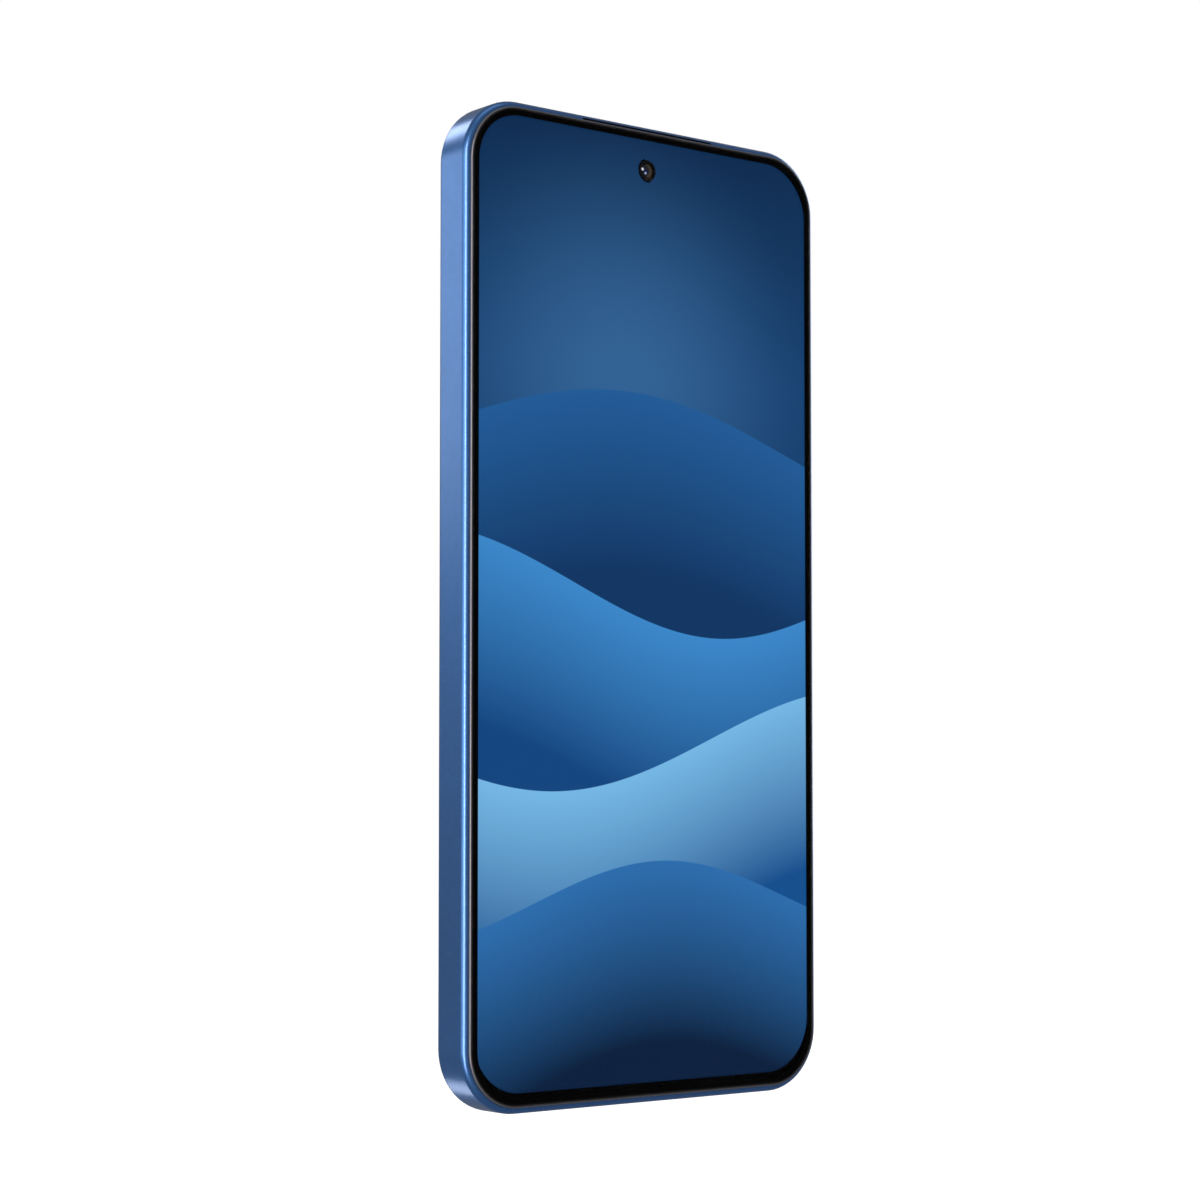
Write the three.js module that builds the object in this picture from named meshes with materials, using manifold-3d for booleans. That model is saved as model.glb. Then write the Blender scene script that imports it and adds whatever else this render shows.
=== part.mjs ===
// Smartphone: cover glass and display, side frame with mid plate, rear cover with camera deck,
// and the electronics, keys and card tray between them.
// Millimetres. +X is right seen from the screen, +Z runs up the long side, the screen faces -Y.
// Inside the phone group y is the depth behind the front face of the glass.
import * as THREE from "three";
import { mergeVertices } from "three/addons/utils/BufferGeometryUtils.js";
import Module from "manifold-3d";

const wasm = await Module();
wasm.setup();

// Overall
const WIDTH = 75.3;
const HEIGHT = 163;
const THICKNESS = 8; // glass front to rear cover, camera deck not counted
const CORNER_RADIUS = 10.5;

// Side frame
const RIM = 1; // frame edge seen beside the glass
const REAR_RIM = 0.95; // frame edge seen beside the rear cover
const EDGE_ROUND = 1.1;
const FRAME_WALL = 1.9;
const PANEL_LEDGE = 1.45; // inset of the pocket that holds the display and the mid plate

// Stack from the glass to the rear cover
const GLASS_PROUD = 0.35;
const GLASS_THICKNESS = 0.6;
const GLASS_ROUND = 0.26;
const PANEL_THICKNESS = 0.8;
const BACKING_THICKNESS = 0.12;
const PLATE_THICKNESS = 0.6;
const COVER_THICKNESS = 0.8;
const COVER_ROUND = 0.35;
const TAPE_THICKNESS = 0.1;
const TAPE_WIDTH = 0.7;

// Clearances
const SEAM = 0.06; // line between the frame and a glass or cover
const GAP = 0.05; // between stacked layers
const FIT = 0.1; // around a piece in its own opening
const SPACE = 0.3; // between neighbouring components
const FLEX = 0.12; // thickness of a flexible circuit

// Front camera and earpiece
const FRONT_CAMERA_DROP = 7.4; // centre below the top edge
const PANEL_HOLE_RADIUS = 2.05;
const PANEL_HOLE_MARGIN = 0.6; // the mid plate's hole, wider than the barrel
const FRONT_BARREL_RADIUS = 1.75;
const FRONT_LENS_RADIUS = 1.4;
const FRONT_MODULE = { width: 7, height: 6.2, depth: 2.6 };
const EARPIECE_SLOT = { length: 28, height: 0.36, ductInset: 2, ductDepth: 0.8 };
const EARPIECE_MESH = { thickness: 0.15, overlap: 0.12, endGap: 0.5 };
const EARPIECE = { width: 12, height: 7, depth: 2.8, offset: 5 };
const DOME_STEPS = 3;

// Camera deck on the rear cover
const DECK = { width: 34, height: 38, radius: 9, rise: 1.1, edge: 0.5, side: 4.2, drop: 6.5 };
const DECK_SPIGOT_INSET = 1.6;
const LENS_RING = { radius: 7, hole: 5.5, rise: 0.55, edge: 0.15 };
const LENS_WINDOW_THICKNESS = 0.35;
const LENS_PITCH = 18;
const LENS_SIDE = 7; // lens centres, beside the deck's centre
const MAIN_CAMERA = { side: 11.5, barrel: 4.3, lens: 2.1, depth: 4.4 };
const WIDE_CAMERA = { side: 9.5, barrel: 3.7, lens: 1.4, depth: 3.8 };
const REAR_LENS = { thickness: 0.5, bulge: 0.3, drop: 1.5 };
const BARREL_CONE = { rim: 0.5, depth: 0.9, lap: 0.1 };
const FLASH = { radius: 3, side: 9, thickness: 0.5, edge: 0.08, led: 2.2, ledThickness: 0.6 };

// Boards, cans and covers
const BOARD_THICKNESS = 0.8;
const BOARD_SIDE_GAP = 2.2; // room beside the board for the antenna wire
const CAMERA_GAP = 1.2; // between the board and the main camera
const NOTCH_GAP = 0.8; // round the front camera and the earpiece
const NOTCH_DROP = 4.2; // below the front camera's centre
const BOARD_COVER_INSET = 0.4;
const SHIELD = { left: 8.4, right: 5, bottom: 5, top: 1.4, flexGap: 1.5 };
const FRONT_CAN_DEPTH = 0.95;
const CAN_WALL = 0.15;
const BOARD_COVER_THICKNESS = 0.8;
const BOARD_TOP_DROP = 4;
const BOARD_BOTTOM_DROP = 44.5;
const NFC_THICKNESS = 0.15;
const NFC_TRACK = 6;
const SUB_BOARD_TOP = 26.2;
const BATTERY = { bottom: 27.6, drop: 48, side: 7.2, radius: 2, round: 0.8 };
const SENSOR = { side: 9.6, thickness: 0.55, height: 38 };
const MAIN_FLEX = { left: -12, right: -4, overBoard: 6, overSubBoard: 8, topGap: 0.8 };
const BATTERY_TAIL = { left: 1, right: 5, reach: 4, plugHeight: 3, plugDepth: 0.5, plugLip: 0.4 };
const FLEX_TAIL = { left: 1, right: 9, fold: 24.4, start: 14, end: 21.6, slot: 1.6 };
const COAX = { radius: 0.25, plug: 1.1, plugHeight: 0.6, side: 1.4, plugSide: 3.6, steps: 20 };
const COAX_PATH = { low: 6, high: 8, bend: 2, straight: 6, lean: 0.3 };

// Bottom edge: port, grille, microphone
const USB = { width: 8.94, depth: 3.16, wall: 0.3, length: 8.3, inset: 0.4, clearance: 0.2 };
const USB_TONGUE = { width: 6.6, depth: 0.7, length: 6.2 };
const GRILLE = { radius: 0.6, pitch: 2.3, first: 13.2, overrun: 1 };
const LOUDSPEAKER = { left: 11.3, top: 25, depth: 4.1, radius: 2, step: 2.4, ear: 2.6, port: 3.5 };
const SPEAKER_MESH = { halfDepth: 0.9, front: 0.4, thickness: 0.15 };
const MICROPHONE = { width: 3, depth: 1, height: 2.2, port: 0.45 };
const BOTTOM_MIC_X = 8.6;
const TOP_MIC_SIDE = 12; // centre, in from the outer edge
const MOTOR = { width: 7, height: 10, depth: 2.6, bottom: 12.6, side: -0.6 };

// Side keys, in the right-hand wall
const KEY_WIDTH = 2.2;
const KEY_PROUD = 0.4;
const KEY_TRAVEL = 0.25;
const KEY_FLANGE = { thickness: 0.5, lip: 0.5 };
const KEY_NUB = { length: 0.4, height: 3, width: 1.2 };
const POWER_KEY = { length: 11, drop: 60, flange: 12 };
const VOLUME_KEY = { length: 21, drop: 37, flange: 5 }; // short flange: the ends rock outwards
const VOLUME_NUB_PITCH = 13;
const SWITCH = { thickness: 0.4, height: 3.4, width: 1.8 };
const KEY_BRACKET = { thickness: 0.4, width: 3, overhang: 2 };
const KEY_FLEX_TAIL = { halfWidth: 1.2, overlap: 3 };
const KEY_EDGE = 0.18;

// Card tray and its ejector
const TRAY = { width: 13.2, depth: 1.2, length: 20.6 };
const TRAY_X = -18.9;
const TRAY_CAP = { width: 15.4, depth: 2.4, height: 1.1 };
const TRAY_SLOT = { width: 14.4, depth: 2 };
const SEAL_HEIGHT = 0.6;
const CARD_POCKET = { width: 11.2, height: 7.6, count: 2, web: 1.2, first: 3.4, lip: 0.5, floor: 0.15 };
const READER = { wall: 0.25, foot: 1.1, footHeight: 4, footDrop: 1, top: 21.2 };
const EJECT_HOLE_RADIUS = 0.45;
const EJECT_ROD = { side: 0.7, depth: 1, bottom: 2.3, top: 23, aside: 1.4 };
const LEVER = { shortArm: 4.4, longArm: 5.2, height: 1.5, depth: 0.7, boss: 1.3, lift: 0.35 };
const LEVER_PIN = { radius: 0.5, head: 0.9, headHeight: 0.25 };

// Screws
const SCREW = { head: 1.25, headHeight: 0.4, headEdge: 0.15, shank: 0.5, grip: 1.4 };
const SCREW_RECESS = { depth: 0.22, arm: 0.7, halfWidth: 0.12 };
const SCREW_HOLE = 0.7;
const SCREW_POST = 1.5;

// Facets
const CORNER_STEPS = 14;
const EDGE_STEPS = 5;
const DECK_STEPS = 8;
const CAPSULE_STEPS = 4;
const SMALL_STEPS = 3;
const ROUND_SEGMENTS = 32;
const PIN_SEGMENTS = 16;
const HOLE_SEGMENTS = 8;

// Depths, front to rear
const PANEL_FRONT = GLASS_THICKNESS + GAP;
const PANEL_BACK = PANEL_FRONT + PANEL_THICKNESS;
const BACKING_FRONT = PANEL_BACK + GAP;
const BACKING_BACK = BACKING_FRONT + BACKING_THICKNESS;
const PLATE_FRONT = BACKING_BACK + FLEX + 2 * GAP;
const PLATE_BACK = PLATE_FRONT + PLATE_THICKNESS;
const GLASS_LEDGE = GLASS_THICKNESS + FIT;
const COVER_FRONT = THICKNESS - COVER_THICKNESS;
const COVER_LEDGE = COVER_FRONT - TAPE_THICKNESS - 2 * GAP;
const BOARD_FRONT = PLATE_BACK + FRONT_CAN_DEPTH + 2 * GAP;
const BOARD_BACK = BOARD_FRONT + BOARD_THICKNESS;
const COVER_PLATE_BACK = COVER_FRONT - SCREW.headHeight - 3 * GAP;
const COVER_PLATE_FRONT = COVER_PLATE_BACK - BOARD_COVER_THICKNESS;
const PORT_DEPTH = PLATE_BACK + USB.clearance + USB.depth / 2; // centre of the port, tray and keys
const SUB_BOARD_FRONT = PORT_DEPTH + TRAY_CAP.depth / 2 + SPACE / 2;
const SUB_BOARD_BACK = SUB_BOARD_FRONT + BOARD_THICKNESS;
const INNER_X = WIDTH / 2 - FRAME_WALL;
const DECK_TOP = THICKNESS + DECK.rise;
const OUTER_DEPTH = DECK_TOP + LENS_RING.rise;
const MIC_DEPTH = BOARD_BACK + GAP + MICROPHONE.depth / 2;

// Camera places
const DECK_X = WIDTH / 2 - DECK.side - DECK.width / 2;
const DECK_Z = HEIGHT - DECK.drop - DECK.height / 2;
const LENS_X = DECK_X + LENS_SIDE;
const MAIN_Z = DECK_Z + LENS_PITCH / 2;
const WIDE_Z = DECK_Z - LENS_PITCH / 2;
const FLASH_X = DECK_X - FLASH.side;
const FRONT_CAMERA_Z = HEIGHT - FRONT_CAMERA_DROP;

// Board outline: left of the rear cameras, notched for the front camera and the earpiece
const BOARD_LEFT = -INNER_X + BOARD_SIDE_GAP;
const BOARD_RIGHT = LENS_X - MAIN_CAMERA.side / 2 - CAMERA_GAP;
const BOARD_BOTTOM = HEIGHT - BOARD_BOTTOM_DROP;
const BOARD_TOP = HEIGHT - BOARD_TOP_DROP;
const NOTCH_LEFT = -EARPIECE.offset - EARPIECE.width - NOTCH_GAP;
const NOTCH_RIGHT = FRONT_MODULE.width / 2 + NOTCH_GAP;
const NOTCH_BOTTOM = FRONT_CAMERA_Z - NOTCH_DROP;
const BATTERY_TOP = HEIGHT - BATTERY.drop;
const TOP_MIC_X = -WIDTH / 2 + TOP_MIC_SIDE;

// Ejector: the rod stands beside the tray's cap, the lever's pivot between the rod and the tray
const EJECT_X = TRAY_X + TRAY_CAP.width / 2 + EJECT_ROD.aside;
const PIVOT_X = EJECT_X - LEVER.shortArm;
const PIVOT_Z = EJECT_ROD.top + LEVER.lift + LEVER.height / 2;

// Screws: three hold the board and its cover, three the sub board and the loudspeaker
const upperScrew = (x, z) => ({ x, z, boss: BOARD_FRONT - GAP, seat: COVER_PLATE_BACK });
const lowerScrew = (x, z) => ({ x, z, boss: SUB_BOARD_FRONT - GAP, seat: SUB_BOARD_BACK });
const UPPER_SCREWS = [
  upperScrew(BOARD_LEFT + 2.4, BOARD_TOP - 3.6),
  upperScrew(BOARD_LEFT + 3.2, BOARD_BOTTOM + 2.2),
  upperScrew(BOARD_RIGHT - 2.2, BOARD_BOTTOM + 2.2),
];
const SUB_BOARD_SCREWS = [
  lowerScrew(-INNER_X + 6.6, SUB_BOARD_TOP - 2.2),
  lowerScrew(FLEX_TAIL.left - 3, SUB_BOARD_TOP - 1.6),
];
const LOUDSPEAKER_SCREW = lowerScrew(INNER_X - 4, LOUDSPEAKER.top - 2);
const SCREW_PLACES = [...UPPER_SCREWS, ...SUB_BOARD_SCREWS, LOUDSPEAKER_SCREW];

// Key stack, outside in: flange, nub, switch, flexible circuit, bracket
const FLANGE_OUT = INNER_X - FIT;
const FLANGE_IN = FLANGE_OUT - KEY_FLANGE.thickness;
const NUB_IN = FLANGE_IN - KEY_NUB.length;
const SWITCH_OUT = NUB_IN - KEY_TRAVEL - FIT;
const SWITCH_IN = SWITCH_OUT - SWITCH.thickness;
const KEY_FLEX_IN = SWITCH_IN - GAP - FLEX;
const BRACKET_OUT = KEY_FLEX_IN - GAP;

// Grille holes fill the flat of the bottom edge between the loudspeaker's left end and the corner.
const GRILLE_END = WIDTH / 2 - CORNER_RADIUS + GRILLE.overrun;
const GRILLE_HOLES = 1 + Math.floor((GRILLE_END - GRILLE.first) / GRILLE.pitch);
const GRILLE_LAST = GRILLE.first + (GRILLE_HOLES - 1) * GRILLE.pitch;

const phone = new THREE.Group();
phone.position.y = -OUTER_DEPTH / 2;

// ---- solids ----

const AXES = {
  x: [new THREE.Vector3(0, 1, 0), new THREE.Vector3(0, 0, 1), new THREE.Vector3(1, 0, 0)],
  y: [new THREE.Vector3(1, 0, 0), new THREE.Vector3(0, 0, 1), new THREE.Vector3(0, -1, 0)],
  z: [new THREE.Vector3(1, 0, 0), new THREE.Vector3(0, 1, 0), new THREE.Vector3(0, 0, 1)],
};

// A closed three.js geometry as a solid that can be cut and joined.
function solidOf(geometry) {
  const bare = new THREE.BufferGeometry();
  bare.setAttribute("position", geometry.getAttribute("position"));
  if (geometry.index) bare.setIndex(geometry.index);
  const merged = mergeVertices(bare, 1e-4);
  const vertProperties = merged.getAttribute("position").array;
  const triVerts = new Uint32Array(merged.index.array);
  return new wasm.Manifold(new wasm.Mesh({ numProp: 3, vertProperties, triVerts }));
}

function geometryOf(solid) {
  const { vertProperties, triVerts } = solid.getMesh();
  const geometry = new THREE.BufferGeometry();
  geometry.setAttribute("position", new THREE.BufferAttribute(vertProperties, 3));
  geometry.setIndex(new THREE.BufferAttribute(triVerts, 1));
  const flat = geometry.toNonIndexed();
  flat.computeVertexNormals();
  return flat;
}

// An outline extruded along an axis: along y it is drawn in x and z, along x in y and z.
function prism(axis, outline, from, to, { round = 0, steps = 3, holes = [] } = {}) {
  const shape = new THREE.Shape(outline);
  shape.holes = holes.map((hole) => new THREE.Path(hole));
  const geometry = new THREE.ExtrudeGeometry(shape, {
    depth: to - from - 2 * round,
    bevelEnabled: round > 0,
    bevelThickness: round,
    bevelSize: round,
    bevelOffset: -round,
    bevelSegments: steps,
  });
  const along = new THREE.Vector3(0, 0, axis === "y" ? -to + round : from + round);
  geometry.translate(...along.toArray());
  geometry.applyMatrix4(new THREE.Matrix4().makeBasis(...AXES[axis]));
  return solidOf(geometry);
}

function plate(outline, from, to, options) {
  return prism("y", outline, from, to, options);
}

function roundedRect(width, height, radius, x = 0, z = 0, steps = SMALL_STEPS) {
  const corners = [
    [1, 1],
    [-1, 1],
    [-1, -1],
    [1, -1],
  ];
  const points = corners.flatMap(([sx, sz], quarter) =>
    Array.from({ length: steps + 1 }, (_, i) => {
      const angle = ((quarter + i / steps) * Math.PI) / 2;
      return new THREE.Vector2(
        x + sx * (width / 2 - radius) + radius * Math.cos(angle),
        z + sz * (height / 2 - radius) + radius * Math.sin(angle),
      );
    }),
  );
  return points.filter((p, i) => p.distanceTo(points.at(i - 1)) > 1e-6);
}

const capsule = (width, height, x = 0, z = 0, steps = SMALL_STEPS) =>
  roundedRect(width, height, Math.min(width, height) / 2, x, z, steps);

const circle = (radius, x = 0, z = 0, segments = ROUND_SEGMENTS) =>
  roundedRect(2 * radius, 2 * radius, radius, x, z, segments / 4);

const polygon = (...points) => points.map(([x, z]) => new THREE.Vector2(x, z));

const rectangle = (x0, x1, z0, z1) => polygon([x0, z0], [x1, z0], [x1, z1], [x0, z1]);

// The phone's outline, drawn in from its outer edge.
const outlineAt = (inset) =>
  roundedRect(
    WIDTH - 2 * inset,
    HEIGHT - 2 * inset,
    CORNER_RADIUS - inset,
    0,
    HEIGHT / 2,
    CORNER_STEPS,
  );

const block = ([x0, x1], [y0, y1], [z0, z1]) => plate(rectangle(x0, x1, z0, z1), y0, y1);

const softBlock = ([x0, x1], [y0, y1], [z0, z1], radius, round) =>
  plate(roundedRect(x1 - x0, z1 - z0, radius, (x0 + x1) / 2, (z0 + z1) / 2), y0, y1, { round });

const joined = (solids) => solids.reduce((whole, piece) => whole.add(piece));

const cut = (solid, cutters) => cutters.reduce((left, cutter) => left.subtract(cutter), solid);

// A solid trimmed to the inside of the frame's walls.
const insideFrame = (solid) =>
  solid.intersect(plate(outlineAt(FRAME_WALL + SPACE), PLATE_BACK, COVER_FRONT));

// A ribbon of flexible circuit through corner points given as [y, z].
function ribbon(corners, x0, x1) {
  const half = FLEX / 2;
  const legs = corners.slice(1).map(([y, z], i) => {
    const [y0, z0] = corners[i];
    const depths = [Math.min(y0, y) - half, Math.max(y0, y) + half];
    const heights = [Math.min(z0, z) - half, Math.max(z0, z) + half];
    return block([x0, x1], depths, heights);
  });
  return joined(legs);
}

const finish = (color, roughness, metalness = 0) =>
  new THREE.MeshStandardMaterial({ color, roughness, metalness });

const FINISH = {
  frame: finish(0x4a72ae, 0.38, 0.75),
  glass: finish(0x0a0c10, 0.05),
  display: finish(0x102a4a, 0.3),
  cover: finish(0x3f67a4, 0.42, 0.2),
  black: finish(0x0b0b0d, 0.5),
  lens: finish(0x10131a, 0.05),
  steel: finish(0xb9bcc0, 0.35, 1),
  alloy: finish(0x8f9298, 0.5, 0.9),
  board: finish(0x12301f, 0.6),
  gold: finish(0xc8912f, 0.4, 0.3),
  cell: finish(0x1c1d20, 0.6),
  white: finish(0xf2ecd8, 0.4),
  rubber: finish(0x26282b, 0.85),
};

// Adds one node to the phone, at its place.
function add(name, solid, material, [x, y, z] = [0, 0, 0]) {
  const mesh = new THREE.Mesh(geometryOf(solid), FINISH[material]);
  mesh.name = name;
  mesh.position.set(x, y, z);
  phone.add(mesh);
}

// ---- housing ----

const frameBody = () =>
  plate(outlineAt(0), GLASS_PROUD, THICKNESS, { round: EDGE_ROUND, steps: EDGE_STEPS });

function keySlot(key) {
  const outline = capsule(KEY_WIDTH + 2 * FIT, key.length + 2 * FIT, PORT_DEPTH, HEIGHT - key.drop);
  return prism("x", outline, INNER_X - 1, WIDTH / 2 + 1);
}

function bottomCuts() {
  const port = capsule(USB.width + 2 * SEAM, USB.depth + 2 * SEAM, 0, PORT_DEPTH);
  const capWidth = TRAY_CAP.width + 2 * SEAM;
  const capRecess = capsule(capWidth, TRAY_CAP.depth + 2 * SEAM, TRAY_X, PORT_DEPTH);
  const traySlot = capsule(TRAY_SLOT.width, TRAY_SLOT.depth, TRAY_X, PORT_DEPTH);
  const round = (radius, x) => circle(radius, x, PORT_DEPTH, HOLE_SEGMENTS);
  const grille = Array.from({ length: GRILLE_HOLES }, (_, i) =>
    prism("z", round(GRILLE.radius, GRILLE.first + i * GRILLE.pitch), -1, CORNER_RADIUS / 2),
  );
  return [
    prism("z", port, -1, FRAME_WALL + 1),
    prism("z", capRecess, -1, TRAY_CAP.height + GAP),
    prism("z", traySlot, 0, CORNER_RADIUS),
    prism("z", round(EJECT_HOLE_RADIUS, EJECT_X), -1, FRAME_WALL + 1),
    prism("z", round(MICROPHONE.port, BOTTOM_MIC_X), -1, FRAME_WALL + 1),
    ...grille,
  ];
}

function earpieceSlot() {
  const { length, height, ductInset, ductDepth } = EARPIECE_SLOT;
  const glassTop = HEIGHT - RIM + SEAM;
  const ductHalf = length / 2 - ductInset;
  const ductDepths = [PANEL_BACK, PLATE_BACK + ductDepth];
  return [
    plate(capsule(length, 2 * height, 0, glassTop), -1, PLATE_FRONT),
    block([-ductHalf, ductHalf], ductDepths, [HEIGHT - FRAME_WALL - 1, glassTop + height]),
  ];
}

function makeHousing() {
  const frame = cut(frameBody(), [
    plate(outlineAt(RIM - SEAM), -1, GLASS_LEDGE),
    plate(outlineAt(PANEL_LEDGE), 0, PLATE_BACK + GAP),
    plate(outlineAt(FRAME_WALL), PLATE_BACK, COVER_LEDGE + 1),
    plate(outlineAt(REAR_RIM - SEAM), COVER_LEDGE, THICKNESS + 1),
    keySlot(POWER_KEY),
    keySlot(VOLUME_KEY),
    prism("z", circle(MICROPHONE.port, TOP_MIC_X, MIC_DEPTH, HOLE_SEGMENTS), HEIGHT - 3, HEIGHT + 1),
    ...bottomCuts(),
    ...earpieceSlot(),
  ]);
  add("side_frame", frame, "frame");

  const bosses = SCREW_PLACES.map(({ x, z, boss }) =>
    plate(circle(SCREW_POST, x, z, HOLE_SEGMENTS), PLATE_BACK - GAP, boss),
  );
  const threads = SCREW_PLACES.map(({ x, z, boss }) =>
    plate(circle(SCREW.shank + FIT, x, z, HOLE_SEGMENTS), PLATE_BACK, boss + 1),
  );
  const window = SENSOR.side + 2 * SPACE;
  const flexWidth = FLEX_TAIL.right - FLEX_TAIL.left;
  const flexMiddle = FLEX_TAIL.left + flexWidth / 2;
  const openings = [
    circle(FRONT_BARREL_RADIUS + PANEL_HOLE_MARGIN, 0, FRONT_CAMERA_Z, PIN_SEGMENTS),
    roundedRect(window, window, 1, 0, SENSOR.height),
    roundedRect(flexWidth + 1, FLEX_TAIL.slot, 0.5, flexMiddle, FLEX_TAIL.fold),
  ];
  const sheet = plate(outlineAt(PANEL_LEDGE + FIT), PLATE_FRONT, PLATE_BACK, { holes: openings });
  add("mid_plate", cut(joined([sheet, ...bosses]), threads), "alloy");

  const coverHole = deckOutline(DECK_SPIGOT_INSET - FIT);
  const cover = plate(outlineAt(REAR_RIM), COVER_FRONT, THICKNESS, { round: COVER_ROUND });
  add("rear_cover", cut(cover, [plate(coverHole, 0, THICKNESS + 1)]), "cover");

  const tapeInset = REAR_RIM + SPACE / 2;
  const tape = plate(outlineAt(tapeInset), COVER_LEDGE + GAP, COVER_FRONT - GAP, {
    holes: [outlineAt(tapeInset + TAPE_WIDTH)],
  });
  add("rear_cover_tape", tape, "black");
}

// ---- display side ----

function makeDisplay() {
  const glass = plate(outlineAt(RIM), 0, GLASS_THICKNESS, { round: GLASS_ROUND });
  add("front_glass", glass, "glass");
  const hole = (radius) => circle(radius, 0, FRONT_CAMERA_Z, ROUND_SEGMENTS);
  const panel = plate(outlineAt(PANEL_LEDGE + FIT), PANEL_FRONT, PANEL_BACK, {
    holes: [hole(PANEL_HOLE_RADIUS)],
  });
  add("display_panel", panel, "display");
  const backing = plate(outlineAt(PANEL_LEDGE + 2 * FIT), BACKING_FRONT, BACKING_BACK, {
    holes: [hole(PANEL_HOLE_RADIUS + SPACE)],
  });
  add("display_backing", backing, "gold");

  const lying = BACKING_BACK + GAP + FLEX / 2;
  const plugDepth = SUB_BOARD_FRONT - GAP - FLEX / 2;
  const { left, right, fold, start, end } = FLEX_TAIL;
  const route = [
    [lying, start],
    [lying, fold],
    [plugDepth, fold],
    [plugDepth, end + 1],
  ];
  add("display_flex", ribbon(route, left, right), "gold");
  const [low, high] = [SENSOR.height - SENSOR.side / 2, SENSOR.height + SENSOR.side / 2];
  const sensorDepths = [PLATE_BACK - SENSOR.thickness - GAP, PLATE_BACK - GAP];
  const sensor = softBlock([-SENSOR.side / 2, SENSOR.side / 2], sensorDepths, [low, high], 0.6, 0);
  add("fingerprint_sensor", sensor, "black");
}

function makeFrontCamera() {
  const { width, height, depth } = FRONT_MODULE;
  const front = PLATE_BACK + FIT;
  const bottom = FRONT_CAMERA_Z - height / 2;
  const body = softBlock([-width / 2, width / 2], [front, front + depth], [bottom, bottom + height], 0.6, 0);
  const barrel = plate(circle(FRONT_BARREL_RADIUS, 0, FRONT_CAMERA_Z), PANEL_FRONT + GAP, front + FIT);
  const mouth = plate(
    circle(FRONT_LENS_RADIUS + GAP, 0, FRONT_CAMERA_Z),
    PANEL_FRONT,
    PANEL_FRONT + 2 * SPACE,
  );
  add("front_camera_module", cut(joined([body, barrel]), [mouth]), "black");
  const lens = domedLens(FRONT_LENS_RADIUS, 0.35, 0.15);
  add("front_camera_lens", lens, "lens", [0, PANEL_FRONT + 2 * SPACE - GAP, FRONT_CAMERA_Z]);
}

// A lens element that bulges towards -Y, with its flat back at the origin.
function domedLens(radius, thickness, bulge) {
  const steps = DOME_STEPS;
  const rim = thickness - bulge;
  const sphere = (radius * radius + bulge * bulge) / (2 * bulge);
  const arc = Array.from({ length: steps + 1 }, (_, i) => {
    const r = (radius * (steps - i)) / steps;
    return new THREE.Vector2(r, -rim - bulge + sphere - Math.sqrt(sphere * sphere - r * r));
  });
  arc.at(-1).x = 0;
  const profile = [...arc.reverse(), new THREE.Vector2(radius, 0), new THREE.Vector2(0, 0)];
  return solidOf(new THREE.LatheGeometry(profile, ROUND_SEGMENTS));
}

function makeEarpiece() {
  const { width, height, depth, offset } = EARPIECE;
  const right = -offset;
  const top = FRONT_CAMERA_Z + height / 2 - SPACE;
  const front = PLATE_BACK + FIT;
  const box = softBlock([right - width, right], [front, front + depth], [top - height, top], 1, 0.3);
  add("earpiece_speaker", box, "black");
  const mesh = EARPIECE_MESH;
  const half = EARPIECE_SLOT.length / 2 - mesh.endGap;
  const glassTop = HEIGHT - RIM + SEAM;
  const meshDepths = [GLASS_LEDGE, GLASS_LEDGE + mesh.thickness];
  const meshZ = [glassTop - mesh.overlap, glassTop + EARPIECE_SLOT.height - GAP];
  add("earpiece_mesh", block([-half, half], meshDepths, meshZ), "black");
}

// ---- rear cameras ----

const deckOutline = (inset) =>
  roundedRect(
    DECK.width - 2 * inset,
    DECK.height - 2 * inset,
    DECK.radius - inset,
    DECK_X,
    DECK_Z,
    DECK_STEPS,
  );

function makeCameraDeck() {
  const slab = plate(deckOutline(0), THICKNESS - DECK.edge, DECK_TOP, { round: DECK.edge });
  const upper = slab.intersect(plate(deckOutline(-1), THICKNESS + GAP / 5, DECK_TOP + 1));
  const spigot = plate(deckOutline(DECK_SPIGOT_INSET), COVER_FRONT + GAP, THICKNESS + 0.5);
  const holes = [
    plate(circle(MAIN_CAMERA.barrel + FIT, LENS_X, MAIN_Z), 0, DECK_TOP + 1),
    plate(circle(WIDE_CAMERA.barrel + FIT, LENS_X, WIDE_Z), 0, DECK_TOP + 1),
    plate(circle(FLASH.radius + SEAM, FLASH_X, DECK_Z), 0, DECK_TOP + 1),
  ];
  add("camera_deck", cut(joined([upper, spigot]), holes), "cover");
}

// A ring that stands on the deck round one lens, seen as a lathe profile of radius and height.
function lensRing() {
  const { radius, hole, rise, edge } = LENS_RING;
  const profile = [
    [hole, 0],
    [hole, rise - 2 * edge],
    [hole + 2 * edge, rise],
    [radius - edge, rise],
    [radius, rise - edge],
    [radius, 0],
    [hole, 0],
  ].map(([r, y]) => new THREE.Vector2(r, y));
  return solidOf(new THREE.LatheGeometry(profile.reverse(), ROUND_SEGMENTS));
}

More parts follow.
